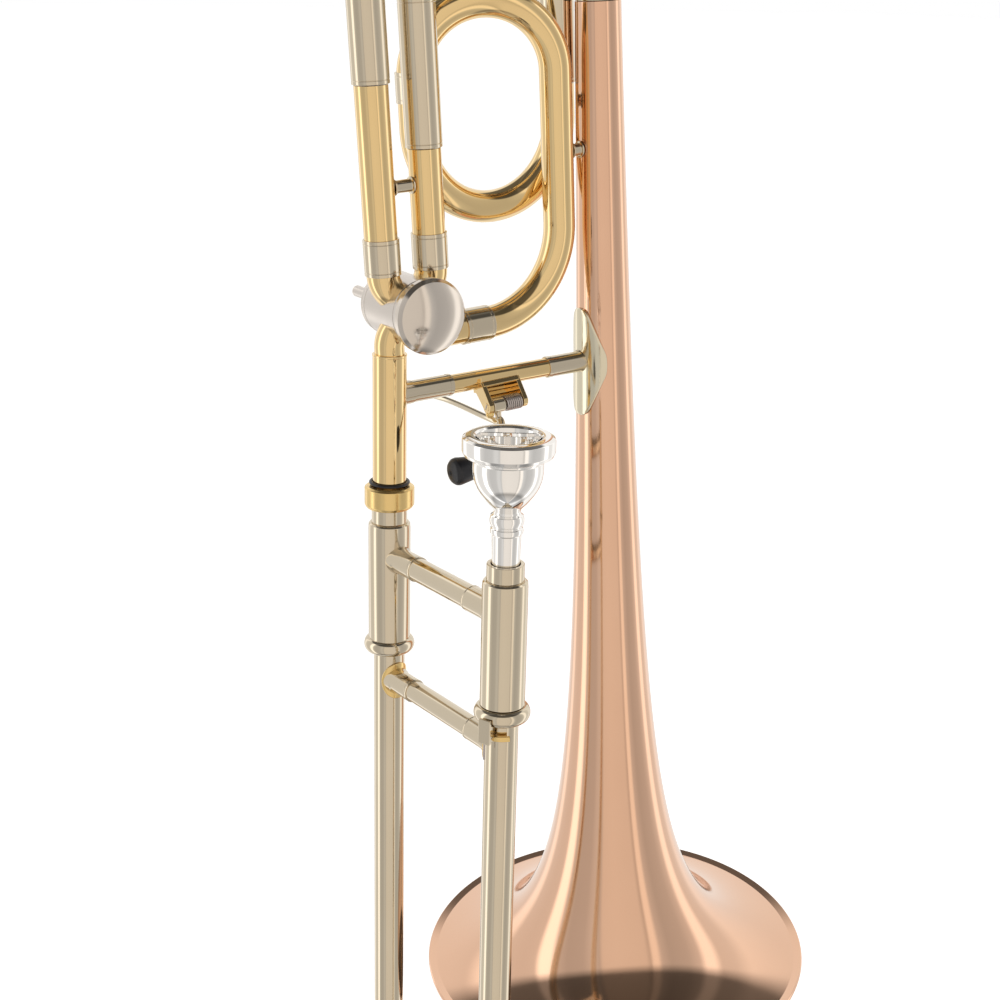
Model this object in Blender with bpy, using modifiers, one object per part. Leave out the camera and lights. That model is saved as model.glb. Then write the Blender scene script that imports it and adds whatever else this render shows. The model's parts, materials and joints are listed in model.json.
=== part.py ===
"""Tenor trombone with a rotary F attachment, stood upright with its bell and slide pointing down.

Frame: metres, +Z up. The origin is on the axis of the left slide tube, level with the hand brace.
The bell lies towards +X, and the mouthpiece tube lies almost along -Y.
Lengths below are written in millimetres and multiplied by MM where they are used.
"""

import math

import bmesh
import bpy
from mathutils import Matrix, Vector

MM = 0.001
GAP = 0.3                 # space left between pieces that touch
ROUND = 16                # facets around a slide tube

# Frames of the two sections
SLIDE_TURN = -85.5        # degrees about Z, from the bell's plane to the slide's plane
CANT = 4.2                # degrees that the bell section leans away from the slide
PIVOT_Z = 100.0           # height at which the gooseneck takes up that lean

# Slide section, measured along its own X from the left tube to the right tube
SPACING = 93.3
BRACE_Z = 0.0
OUTER_BRACE_Z = -64.0
INNER_R, INNER_BORE = 6.85, 6.45
STOCKING_R = 7.0
OUTER_R, OUTER_BORE = 7.65, 7.25
OUTER_TOP, OUTER_END = -18.0, -705.0
INNER_END = -690.0
BOW_Z = -722.0
BARREL_R, BARREL_BORE = 10.25, 9.3
BARREL_TOP, BARREL_END = 17.2, -42.3
TENON_R, TENON_TOP = 8.6, 33.0
BEAD_Z, BEAD_HALF = -46.2, 3.6
NUT_BOTTOM, NUT_TOP = 24.8, 35.6
HOOK_ANGLE, HOOK_REACH = -69.0, 14.2       # where the lock hook stands round the right column

# Bell section, in its canted frame
BELL_X = 122.3
RIM_Z, RIM_R = -382.0, 108.0
FLARE_REACH, FLARE_POWER = 17.3, 0.66
BELL_TAIL_Z = 150.0
BELL_WALL = 0.9
VALVE_X, VALVE_Z = 12.0, 19.2
NECK_X = -0.7
RETURN_X = 24.4
LEAD_X = 97.0
REAR_LEFT_X, REAR_RIGHT_X = 30.6, 110.6
REAR_U = -18.0
TUBE_R = 7.75
TUBE_WALL = 0.7
F_CROOK_Z = 165.0
CROSSING_Z = 120.0
LOWER_BOW_Z = 97.5
MAIN_CROOK_Z = 235.0

# Rotary valve, on an axis that points to the mouthpiece
CASING_R, CASING_BORE = 15.6, 13.6
CASING_BACK, CASING_FRONT = -17.6, 15.6
ROTOR_R, PASSAGE_R, SPINDLE_R = 13.35, 5.2, 3.0
STOP_REACH, STOP_ANGLE = 11.0, -45.0

# Bell brace and the thumb lever below it
BRACE_LEFT_Z, BRACE_RIGHT_Z, BRACE_R = -20.3, -23.6, 5.1
HINGE_U, HINGE_Z = 11.0, -32.6
LINK_END = (30.0, -50.0, -36.4)
LINK_STUD_U = -29.6
TOUCH_X, TOUCH_U, TOUCH_Z = 7.6, 38.0, -50.5

# Colours, roughness, metallic
METALS = {
    "nickel_silver": ((0.66, 0.62, 0.54), 0.22, 1.0),
    "yellow_brass": ((0.83, 0.62, 0.27), 0.18, 1.0),
    "gold_brass": ((0.80, 0.47, 0.33), 0.16, 1.0),
    "gold_plate": ((0.85, 0.58, 0.20), 0.30, 1.0),
    "silver_plate": ((0.86, 0.86, 0.85), 0.10, 1.0),
    "satin_nickel": ((0.62, 0.60, 0.57), 0.38, 1.0),
    "spring_steel": ((0.30, 0.29, 0.29), 0.35, 1.0),
    "black_rubber": ((0.02, 0.02, 0.022), 0.55, 0.0),
    "cork": ((0.55, 0.36, 0.20), 0.85, 0.0),
}


# ---------------------------------------------------------------- scene and helpers

for old in list(bpy.data.objects):
    bpy.data.objects.remove(old, do_unlink=True)

parts = bpy.data.collections.new("trombone")
cutters = bpy.data.collections.new("trombone_cutters")
bpy.context.scene.collection.children.link(parts)
bpy.context.scene.collection.children.link(cutters)


def make_material(name):
    """Principled material of a metal, rubber or cork named in METALS."""
    colour, roughness, metallic = METALS[name]
    material = bpy.data.materials.new(name)
    material.use_nodes = True
    shader = material.node_tree.nodes["Principled BSDF"]
    shader.inputs["Base Color"].default_value = (*colour, 1.0)
    shader.inputs["Roughness"].default_value = roughness
    shader.inputs["Metallic"].default_value = metallic
    return material


def make_frame(name, location, rotation):
    """Empty that carries the pieces of one section."""
    frame = bpy.data.objects.new(name, None)
    frame.location = Vector(location) * MM
    frame.rotation_euler = [math.radians(angle) for angle in rotation]
    parts.objects.link(frame)
    return frame


def place(obj, parent, origin=(0, 0, 0), direction=(0, 0, 1)):
    """Put an object's own Z axis along a direction, with its origin at a point of its frame."""
    obj.parent = parent
    obj.location = Vector(origin) * MM
    axis = Vector(direction).normalized()
    if axis.z < 0.9999:
        obj.rotation_mode = "QUATERNION"
        obj.rotation_quaternion = axis.to_track_quat("Z", "Y")
    return obj


def link(name, data, metal, collection=parts):
    """New object of some mesh or curve data, with its own material."""
    obj = bpy.data.objects.new(name, data)
    if metal:
        material = make_material(metal)
        material.name = name
        data.materials.append(material)
    collection.objects.link(obj)
    return obj


def turned(name, outline, metal, parent, origin=(0, 0, 0), direction=(0, 0, 1), facets=ROUND):
    """Turned piece: an outline of (radius, height) pairs, down the outside and back up the inside."""
    mesh = bpy.data.meshes.new(name)
    loop = len(outline)
    solid = min(radius for radius, _ in outline) < 1e-6
    edges = [(i, i + 1) for i in range(loop - 1)]
    if not solid:
        edges.append((loop - 1, 0))
    mesh.from_pydata([(radius * MM, 0, height * MM) for radius, height in outline], edges, [])
    obj = link(name, mesh, metal)
    screw = obj.modifiers.new("Turn", "SCREW")
    screw.axis = "Z"
    screw.steps = facets
    screw.render_steps = facets
    screw.use_merge_vertices = True
    screw.merge_threshold = 0.00001
    screw.use_smooth_shade = True
    return place(obj, parent, origin, direction)


def ring(name, outer, inner, bottom, top, metal, parent, origin=(0, 0, 0), direction=(0, 0, 1),
         facets=ROUND, edge=0.0):
    """Sleeve between two heights, with small chamfers on its outer edges if wanted."""
    outline = [(outer, top - edge), (outer, bottom + edge)]
    if edge:
        outline += [(outer - edge, bottom)]
    outline += [(inner, bottom), (inner, top)]
    if edge:
        outline += [(outer - edge, top)]
    return turned(name, outline, metal, parent, origin, direction, facets)


def disc(name, radius, bottom, top, metal, parent, origin=(0, 0, 0), direction=(0, 0, 1), facets=ROUND,
         edge=0.0):
    """Plain turned cylinder, with chamfered ends if wanted."""
    outline = [(0, top)]
    if edge:
        outline += [(radius - edge, top)]
    outline += [(radius, top - edge), (radius, bottom + edge)]
    if edge:
        outline += [(radius - edge, bottom)]
    outline += [(0, bottom)]
    return turned(name, outline, metal, parent, origin, direction, facets)


def arc(centre, radius, start, end, steps, across=(1, 0, 0), up=(0, 0, 1)):
    """Points of a circular arc, with angles in degrees from the across direction towards up."""
    across, up, centre = Vector(across), Vector(up), Vector(centre)
    points = []
    for step in range(steps + 1):
        angle = math.radians(start + (end - start) * step / steps)
        points.append(centre + radius * (math.cos(angle) * across + math.sin(angle) * up))
    return points


def pipe(name, points, radius, metal, parent, wall=0.0, radii=None, sides=10):
    """Bent tube or rod that follows points. A wall thickness makes it hollow and open at its ends."""
    curve = bpy.data.curves.new(name, "CURVE")
    curve.dimensions = "3D"
    curve.bevel_depth = radius * MM
    curve.bevel_resolution = sides // 2 - 2
    curve.use_fill_caps = wall == 0.0
    curve.twist_mode = "MINIMUM"
    spline = curve.splines.new("POLY")
    spline.points.add(len(points) - 1)
    for index, point in enumerate(points):
        spline.points[index].co = (*(Vector(point) * MM), 1.0)
        if radii:
            spline.points[index].radius = radii[index] / radius
    obj = link(name, curve, metal)
    if wall:
        shell = obj.modifiers.new("Wall", "SOLIDIFY")
        shell.thickness = wall * MM
        shell.offset = -1.0
    obj.parent = parent
    return obj


def to_mesh(obj):
    """Turn a curve object, or one with modifiers, into a plain mesh object in the same place."""
    bpy.context.view_layer.update()
    evaluated = obj.evaluated_get(bpy.context.evaluated_depsgraph_get())
    mesh = bpy.data.meshes.new_from_object(evaluated)
    work = bmesh.new()
    work.from_mesh(mesh)
    bmesh.ops.remove_doubles(work, verts=work.verts, dist=0.000005)
    work.to_mesh(mesh)
    work.free()
    name, matrix = obj.name, obj.matrix_world.copy()
    bpy.data.objects.remove(obj, do_unlink=True)
    solid = bpy.data.objects.new(name, mesh)
    mesh.name = name
    parts.objects.link(solid)
    solid.matrix_world = matrix
    return solid


def combine(obj, tool, operation):
    """Boolean of a piece with a tool, which moves to the cutters' collection."""
    modifier = obj.modifiers.new(tool.name, "BOOLEAN")
    modifier.operation = operation
    modifier.solver = "EXACT"
    modifier.object = tool
    parts.objects.unlink(tool)
    cutters.objects.link(tool)
    tool.hide_render = True
    tool.display_type = "WIRE"
    return obj


def cut(obj, tool):
    """Cut a tool's shape out of a piece."""
    return combine(obj, tool, "DIFFERENCE")


def unite(obj, tool):
    """Braze another shape onto a piece."""
    return combine(obj, tool, "UNION")


def block(name, size, centre, metal, parent, edge=0.0):
    """Box of a size at a centre, with rounded edges if wanted."""
    mesh = bpy.data.meshes.new(name)
    work = bmesh.new()
    bmesh.ops.create_cube(work, size=1.0)
    bmesh.ops.scale(work, verts=work.verts, vec=Vector(size) * MM)
    work.to_mesh(mesh)
    work.free()
    obj = link(name, mesh, metal)
    obj.parent = parent
    obj.location = Vector(centre) * MM
    if edge:
        bevel = obj.modifiers.new("Edge", "BEVEL")
        bevel.width = edge * MM
        bevel.segments = 1
    return obj


def plate(name, outline, thickness, metal, parent, origin, swing):
    """Flat plate swung about Y, with half its thickness to each side of its origin."""
    curve = bpy.data.curves.new(name, "CURVE")
    curve.dimensions = "2D"
    curve.fill_mode = "BOTH"
    curve.extrude = thickness / 2 * MM
    spline = curve.splines.new("POLY")
    spline.points.add(len(outline) - 1)
    for index, (x, y) in enumerate(outline):
        spline.points[index].co = (x * MM, y * MM, 0.0, 1.0)
    spline.use_cyclic_u = True
    obj = link(name, curve, metal)
    obj.parent = parent
    obj.location = Vector(origin) * MM
    obj.rotation_euler = (0, math.radians(swing), 0)
    return to_mesh(obj)


# ---------------------------------------------------------------- slide section

def column(side):
    """X of a slide tube in the slide's frame."""
    return SPACING if side == "right" else 0.0


def build_inner_slide(frame):
    """Inner tubes, cork barrels, bumper corks, leadpipe and hand brace."""
    for side in ("left", "right"):
        x = column(side)
        turned(f"inner_slide_tube_{side}", [
            (INNER_R, BARREL_TOP - 2.6), (INNER_R, INNER_END + 130), (STOCKING_R, INNER_END + 126),
            (STOCKING_R, INNER_END), (INNER_BORE, INNER_END), (INNER_BORE, BARREL_TOP - 2.6),
        ], "nickel_silver", frame, (x, 0, 0))
        ring(f"bumper_cork_{side}", 8.9, INNER_R + GAP, OUTER_TOP + GAP, BARREL_TOP - 4.0, "cork", frame,
             (x, 0, 0), facets=16)
    shoulder = [(9.0, BARREL_TOP), (9.7, BARREL_TOP - 0.6), (10.1, BARREL_TOP - 1.4),
                (BARREL_R, BARREL_TOP - 2.6)]
    tenon = [(TENON_R - 0.4, TENON_TOP), (TENON_R, TENON_TOP - 0.4), (TENON_R, BARREL_TOP)]
    bead = bead_outline(12.45)
    turned("cork_barrel_left", tenon + shoulder + [(BARREL_R, BEAD_Z + BEAD_HALF)] + bead + [
        (8.1, BEAD_Z - BEAD_HALF), (8.1, BARREL_END - 4.0), (BARREL_BORE, BARREL_END),
        (BARREL_BORE, BARREL_TOP - 2.2), (6.2, BARREL_TOP - 2.2), (6.2, TENON_TOP),
    ], "nickel_silver", frame, (column("left"), 0, 0))
    receiver = [(7.9, 24.8), (8.45, 24.2), (8.45, BARREL_TOP)]
    turned("cork_barrel_right", receiver + shoulder + [
        (BARREL_R, BARREL_END), (BARREL_BORE, BARREL_END), (BARREL_BORE, BARREL_TOP - 2.2),
        (6.6, BARREL_TOP - 2.2), (6.6, 24.8),
    ], "nickel_silver", frame, (column("right"), 0, 0))
    ring("leadpipe", 6.1, 5.7, -215.0, -3.0, "yellow_brass", frame, (SPACING, 0, 0), facets=16)
    build_brace("hand_brace", frame, BRACE_Z, 5.75, 6.2, BARREL_R + GAP, 15.0)


def bead_outline(bulge, steps=6):
    """Half-round outline of the bead below a cork barrel."""
    return [(bulge - 2.8 + 2.8 * math.sin(a), BEAD_Z + BEAD_HALF * math.cos(a))
            for a in (math.pi * step / steps for step in range(steps + 1))]


def build_brace(name, frame, height, tube_r, ferrule_r, column_r, ferrule_length):
    """Cross tube between the two columns, stepped up to a ferrule at each end and cut to the columns."""
    left, right = column_r + ferrule_length, SPACING - column_r - ferrule_length
    brace = turned(name, [
        (0, SPACING - 2.0), (ferrule_r, SPACING - 2.0), (ferrule_r, right + 0.4), (ferrule_r - 0.4, right),
        (tube_r, right), (tube_r, left), (ferrule_r - 0.4, left), (ferrule_r, left - 0.4),
        (ferrule_r, 2.0), (0, 2.0),
    ], "nickel_silver", frame, (0, 0, height), (1, 0, 0), 20)
    for side in ("left", "right"):
        cut(brace, disc(f"{name}_saddle_{side}", column_r, height - 12, height + 12, None, frame,
                        (column(side), 0, 0)))


def build_lock_ring(frame):
    """Slide lock ring below the right cork barrel, with a lug that the hook passes under."""
    outline = bead_outline(12.85) + [(8.1, BEAD_Z - BEAD_HALF), (8.1, BEAD_Z + BEAD_HALF)]
    return turned("slide_lock_ring", outline, "nickel_silver", frame, (SPACING, 0, 0))


def build_outer_slide(frame):
    """Outer tubes, their brace with its flanges and lock hook, and the bow at the bottom."""
    for side in ("left", "right"):
        x = column(side)
        turned(f"outer_slide_tube_{side}", [
            (OUTER_R, OUTER_TOP), (OUTER_R, OUTER_END + 17), (8.2, OUTER_END + 17), (8.6, OUTER_END + 16.6),
            (8.6, BOW_Z + 0.4), (8.2, BOW_Z), (OUTER_R + GAP, BOW_Z), (OUTER_R + GAP, OUTER_END),
            (OUTER_BORE, OUTER_END), (OUTER_BORE, OUTER_TOP),
        ], "nickel_silver", frame, (x, 0, 0))
        build_brace_flange(frame, side)
    build_brace("slide_brace", frame, OUTER_BRACE_Z, 5.3, 5.9, 8.9, 14.0)
    build_lock_hook(frame)
    half = SPACING / 2
    bow = [(0, 0, OUTER_END - GAP)] + arc((half, 0, BOW_Z), half, 180, 360, 14)
    bow += [(SPACING, 0, OUTER_END - GAP)]
    tube = to_mesh(pipe("slide_bow", bow, OUTER_R, "nickel_silver", frame, wall=TUBE_WALL))
    seat, outward = drain_seat()
    unite(tube, ring("drain_nipple", 3.4, 1.6, -0.4, 3.4, None, frame, seat, outward, 14))
    bottom = BOW_Z - half - OUTER_R
    cup = disc("bow_guard", 6.5, bottom - 6.0, bottom - 0.9, "nickel_silver", frame, (half, 0, 0), edge=0.5)
    guard = arc((half, 0, BOW_Z), half + OUTER_R + 1.3, 236, 304, 12)
    unite(cup, to_mesh(pipe("guard_strip", guard, 0.9, None, frame, sides=8)))
    disc("bumper_tip", 5.6, bottom - 12.0, bottom - 6.0 - GAP, "black_rubber", frame, (half, 0, 0),
         edge=1.2)


def build_lock_hook(frame):
    """Tab that stands in front of the lock ring, its foot and clip on the outer tube, and a thin pin."""
    angle = math.radians(HOOK_ANGLE)

    def stand(radius, height):
        return (SPACING + radius * math.cos(angle), radius * math.sin(angle), height)

    def turned_block(name, size, radius, height, metal=None, edge=0.0):
        piece = block(name, size, stand(radius, height), metal, frame, edge)
        piece.rotation_euler = (0, 0, angle + math.radians(90))
        return piece

    hook = turned_block("lock_hook", (6.2, 1.6, 12.0), HOOK_REACH, -50.9, "nickel_silver", 0.4)
    unite(hook, turned_block("lock_hook_foot", (5.0, 5.6, 2.2), 11.0, -55.6))
    clip = ring("hook_clip", 10.4, 8.6 + GAP, -56.8, -54.4, None, frame, (SPACING, 0, 0), facets=32)
    clip.rotation_euler = (0, 0, math.radians(4))
    combine(clip, turned_block("hook_clip_sector", (16.4, 8.4, 6.0), 8.4, -55.6), "INTERSECT")
    unite(hook, clip)
    unite(hook, disc("hook_pin", 0.5, -64.6, -56.0, None, frame, stand(HOOK_REACH, 0), facets=10))
    cut(hook, disc("lock_hook_saddle", 8.6 + GAP, -70, -40, None, frame, (SPACING, 0, 0), facets=32))


def drain_seat():
    """Point on the outside of the slide bow where the water key sits, and the way out from it."""
    half = SPACING / 2
    away = math.radians(205)
    outward = Vector((math.cos(away), 0, math.sin(away)))
    return Vector((half, 0, BOW_Z)) + outward * (half + OUTER_R), outward


def build_brace_flange(frame, side):
    """Oval saddle plate that wraps the outer tube where the slide brace meets it."""
    x = column(side)
    inward = 1 if side == "left" else -1
    collar = ring(f"slide_brace_flange_{side}", 8.6, OUTER_R + GAP, OUTER_BRACE_Z - 12,
                  OUTER_BRACE_Z + 12, "gold_plate", frame, (x, 0, 0))
    oval = disc(f"flange_oval_{side}", 9.5, 1.0, 14.0, None, frame, (x, 0, OUTER_BRACE_Z), (inward, 0, 0))
    oval.scale = (1.0, 0.78, 1.0)
    combine(collar, oval, "INTERSECT")


def build_water_key(frame):
    """Sprung key on the bow's left side: nipple, saddle, lever with its cork, screw and spring."""
    seat, outward = drain_seat()
    tip = seat + outward * 3.4
    cup = disc("water_key_lever", 4.4, 2.0, 4.2, "nickel_silver", frame, tip, outward, 16)
    unite(cup, disc("water_key_pad", 3.4, GAP, 2.6, None, frame, tip, outward, 14))
    pivot = Vector((-13.6, 0, -713.0))
    low = tip + outward * 3.2
    unite(cup, to_mesh(pipe("key_arm", [low, Vector((-14.6, 0, -726)), pivot, Vector((-16.2, 0, -700)),
                                        Vector((-17.0, 0, -684))], 1.5, None, frame, sides=10)))
    touch = block("key_touch", (1.8, 9.0, 12.0), (-17.2, 0, -680.0), None, frame, 0.5)
    unite(cup, touch)
    unite(cup, disc("key_hub", 2.6, -2.6, 2.6, None, frame, pivot, (0, 1, 0), 14))
    cut(cup, disc("key_bore", 1.3, -8, 8, None, frame, pivot, (0, 1, 0), 14))
    disc("water_key_screw", 1.0, -5.6, 5.6, "spring_steel", frame, pivot, (0, 1, 0), 12)
    saddle = block("water_key_saddle", (1.6, 9.6, 9.0), (-9.75, 0, pivot.z), "nickel_silver", frame, 0.3)
    for across in (-3.95, 3.95):
        ear = block("key_ear", (7.4, 1.7, 6.4), (-12.4, across, pivot.z), None, frame, 0.3)
        unite(saddle, ear)
    cut(saddle, disc("ear_bore", 1.3, -8, 8, None, frame, pivot, (0, 1, 0), 14))


# ---------------------------------------------------------------- mouthpiece

def build_mouthpiece(frame):
    """Cup mouthpiece, its shank seated in the receiver."""
    rim = [(17.6, 82.6), (18.8, 82.6), (20.2, 80.5), (20.2, 76.3), (19.5, 74.1), (17.5, 73.2), (16.0, 72.4),
           (15.3, 71.0)]
    cup = [(15.1, 70.3), (15.0, 68.4), (14.5, 63.9), (13.0, 59.4), (10.3, 54.6), (8.0, 51.9), (5.9, 49.4)]
    beads = [(5.9, 48.6), (7.3, 47.3), (7.5, 45.0), (7.2, 42.9), (6.4, 42.0), (7.2, 41.2), (7.2, 38.9)]
    shank = [(6.3, 38.0), (6.1, 24.8), (5.75, 2.2)]
    bore = [(5.0, 2.2), (3.6, 44.0), (3.6, 49.6), (5.8, 53.4), (9.2, 58.0), (11.4, 63.0), (12.5, 69.0),
            (13.4, 77.0), (14.4, 80.8), (16.2, 82.3)]
    outline = rim + cup + beads + shank + bore
    return turned("mouthpiece", outline, "silver_plate", frame, (SPACING, 0, 0), facets=18)


# ---------------------------------------------------------------- neck and rotary valve

def at(x, u, z):
    """Point of the bell section's frame from its X, its reach towards the mouthpiece, and its Z."""
    return Vector((x, -u, z))


def build_neck(frame, bell_frame):
    """Lock nut, rubber ring and gooseneck above the left cork barrel."""
    bore = TENON_R + GAP
    turned("lock_nut", [
        (11.2, NUT_TOP), (11.8, NUT_TOP - 0.2), (12.0, NUT_TOP - 0.8), (12.0, NUT_BOTTOM + 2.2),
        (11.5, NUT_BOTTOM + 0.9), (10.2, NUT_BOTTOM), (bore, NUT_BOTTOM), (bore, NUT_TOP),
    ], "gold_plate", frame, facets=24)
    ring("rubber_ring", 10.0, 8.1 + GAP, NUT_TOP + 0.4, NUT_TOP + 2.4, "black_rubber", frame, edge=0.6)
    sleeve = ring("gooseneck", 8.1, 6.8, TENON_TOP + 0.4, PIVOT_Z, "yellow_brass", frame)
    bend = knuckle(-VALVE_X, -1, False, VALVE_Z + 8.0)
    unite(sleeve, valve_pipe("gooseneck_bend", bend, 7.15, bell_frame))
    return sleeve


def knuckle(offset, side, sideways, start):
    """Points of a pipe that turns through an eighth of a circle into the valve casing.

    The offset is how far the pipe's straight part passes from the casing's axis, and start is how far
    along it the points begin.
    """
    bend = 12.0
    sign = 1 if offset > 0 else -1
    reach = abs(offset)
    centre_along = reach + 0.41421 * bend
    local = [(reach, start)]
    local += [(reach - bend + bend * math.cos(a), centre_along - bend * math.sin(a))
              for a in (math.radians(45.0 * step / 4) for step in range(5))]
    last = local[-1]
    local.append((last[0] - 6.0, last[1] - 6.0))
    if sideways:
        return [at(VALVE_X + along, 0, VALVE_Z + sign * across) for across, along in local]
    return [at(VALVE_X + sign * across, 0, VALVE_Z + side * along) for across, along in local]


def valve_pipe(name, points, radius, frame, metal=None):
    """Hollow pipe whose end is cut to fit the valve casing."""
    tube = to_mesh(pipe(name, points, radius, metal, frame, wall=TUBE_WALL))
    cut(tube, disc(f"{name}_seat", CASING_R + GAP, -30, 30, None, frame, at(VALVE_X, 0, VALVE_Z), (0, -1, 0),
                   32))
    return tube


def build_valve(frame):
    """Casing with its four ports, rotor with two passages, cap, bearing plates, bumpers and stop arm."""
    centre = at(VALVE_X, 0, VALVE_Z)
    toward = (0, -1, 0)
    casing = ring("valve_casing", CASING_R, CASING_BORE, CASING_BACK, CASING_FRONT, "satin_nickel", frame,
                  centre, toward, 24)
    for angle in (45, 135):
        direction = (math.cos(math.radians(angle)), 0, math.sin(math.radians(angle)))
        cut(casing, disc(f"port_{angle}", PASSAGE_R + 0.4, -30, 30, None, frame, centre, direction, 16))
    rotor = turned("rotor", [
        (0, 13.2), (SPINDLE_R, 13.2), (SPINDLE_R, 11.6), (ROTOR_R, 11.6), (ROTOR_R, -14.0),
        (SPINDLE_R, -14.0), (SPINDLE_R, -26.6), (3.6, -26.6), (3.6, -28.2), (3.2, -28.6), (0, -28.6),
    ], "satin_nickel", frame, centre, toward, 20)
    for side in (-1, 1):
        reach = ROTOR_R * math.sqrt(2)
        middle = at(VALVE_X + side * reach, 0, VALVE_Z)
        sweep = arc(middle, ROTOR_R, 30, 150, 12, across=(0, 0, 1), up=(-side, 0, 0))
        passage = to_mesh(pipe(f"passage_{side}", sweep, PASSAGE_R, None, frame, sides=8))
        cut(rotor, passage)
    turned("valve_cap", [
        (0, 26.6), (7.0, 25.9), (13.0, 24.1), (16.4, 22.7), (17.5, 21.4), (17.5, 17.6), (16.6, 16.4),
        (16.6, 15.9), (4.0, 15.9), (4.0, 18.0), (0, 18.0),
    ], "satin_nickel", frame, centre, toward, 24)
    ring("front_bearing_plate", CASING_BORE - GAP, SPINDLE_R + 0.15, 12.0, 15.3, "yellow_brass", frame,
         centre, toward)
    plate_back = ring("rear_bearing_plate", 15.2, SPINDLE_R + 0.15, -20.4, CASING_BACK - GAP, "satin_nickel",
                      frame, centre, toward, edge=0.5)
    for bumper in (-86.0, 86.0):
        turn = math.radians(bumper)
        spot = centre + Vector((math.cos(turn), 0, math.sin(turn))) * 9.6
        unite(plate_back, disc(f"stop_bumper_{bumper:.0f}", 2.2, -24.6, -20.0, None, frame, spot, toward, 14))
    unite(plate_back, disc("stop_plate_post", 2.75, -31.5, -20.0, None, frame, at(1.0, 0, 24.0), toward, 18,
                           edge=0.4))
    build_stop_arm(frame, centre, toward)


def build_stop_arm(frame, centre, toward):
    """Arm on the rotor's spindle that the link rod turns."""
    angle = math.radians(STOP_ANGLE)
    along = Vector((math.cos(angle), 0, math.sin(angle)))
    arm = ring("stop_arm", 5.0, SPINDLE_R + 0.15, -25.6, -21.0, "nickel_silver", frame, centre, toward, 20)
    inner_end = 3.8
    bar = block("stop_arm_bar", (STOP_REACH - inner_end, 3.2, 5.0), (0, 0, 0), None, frame)
    bar.location = (centre + along * (STOP_REACH + inner_end) / 2 + Vector((0, 22.8, 0))) * MM
    bar.rotation_euler = (0, -angle, 0)
    unite(arm, bar)
    stud = centre + along * STOP_REACH
    unite(arm, disc("stop_arm_stud", 2.5, -27.4, -21.4, None, frame, stud, toward, 16))


# ---------------------------------------------------------------- F tubing and main tuning slide

def upright(name, x, u, bottom, top, frame, metal="yellow_brass", outer=TUBE_R, inner=TUBE_R - TUBE_WALL,
            edge=0.0, facets=14):
    """Straight sleeve or tube parallel to the bell's axis."""
    return ring(name, outer, inner, bottom, top, metal, frame, at(x, u, 0), (0, 0, 1), facets, edge)


def build_f_tubing(frame):
    """Lead-out bend, crossing bow, lower bow, receivers, and the return tube down to the valve."""
    out_z = VALVE_Z - 13.4
    bend = 42.5
    bend_x = LEAD_X - bend
    ring("f_lead_ferrule", TUBE_R + 0.75, TUBE_R + GAP, 39.0, 54.0, "nickel_silver", frame, at(0, 0, out_z),
         (1, 0, 0), 20, 0.4)
    lead = knuckle(-13.4, 1, True, bend_x - VALVE_X - 1.0)[::-1]
    lead += arc(at(bend_x, 0, out_z + bend), bend, 270, 360, 7)
    crossing_r = (LEAD_X - REAR_LEFT_X) / 2
    middle = at((LEAD_X + REAR_LEFT_X) / 2, 0, CROSSING_Z)
    steps = 12
    rise = arc(middle, crossing_r, 0, 180, steps)
    for step, point in enumerate(rise):
        blend = (1 - math.cos(math.pi * step / steps)) / 2
        point.y = -REAR_U * blend
    rise.append(at(REAR_LEFT_X, REAR_U, CROSSING_Z - 3.0))
    lead_tube = valve_pipe("f_lead_tube", lead + rise, TUBE_R, frame, "yellow_brass")
    unite(lead_tube, stay("stay_to_bell", at(LEAD_X, 0, 82), at(BELL_X, 0, 82), 3.0, 7.3, 13.6 + GAP,
                         frame))
    lower_r = (REAR_RIGHT_X - REAR_LEFT_X) / 2
    lower = [at(REAR_LEFT_X, REAR_U, CROSSING_Z - 3.0 - GAP)]
    lower += arc(at((REAR_LEFT_X + REAR_RIGHT_X) / 2, REAR_U, LOWER_BOW_Z), lower_r, 180, 360, 12)
    lower.append(at(REAR_RIGHT_X, REAR_U, 112.0))
    bow = to_mesh(pipe("f_lower_bow", lower, TUBE_R, "yellow_brass", frame, wall=TUBE_WALL))
    unite(bow, stay("stay_rear_lead", at(REAR_RIGHT_X, REAR_U, 104), at(LEAD_X, 0, 104), 3.0, 7.3, 7.95 + GAP,
                    frame))
    unite(bow, stay("stay_rear_return", at(REAR_LEFT_X, REAR_U, 104), at(RETURN_X, 0, 104), 3.0, 7.3,
                    8.6 + GAP, frame))
    upright("f_receiver_rear", REAR_RIGHT_X, REAR_U, 112.0 + GAP, F_CROOK_Z - 8, frame, "nickel_silver",
            8.55, 7.75, 0.3)
    returning = knuckle(RETURN_X - VALVE_X, 1, False, 92.0 - VALVE_Z)
    valve_pipe("f_return_tube", returning, TUBE_R, frame, "yellow_brass")
    upright("f_receiver_front", RETURN_X, 0, 92.0 + GAP, F_CROOK_Z - 8, frame, "nickel_silver", 8.55, 7.75,
            0.3)
    upright("f_return_ferrule", RETURN_X, 0, 37.0, 53.5, frame, "nickel_silver", TUBE_R + 0.75,
            TUBE_R + GAP, 0.4)


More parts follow.
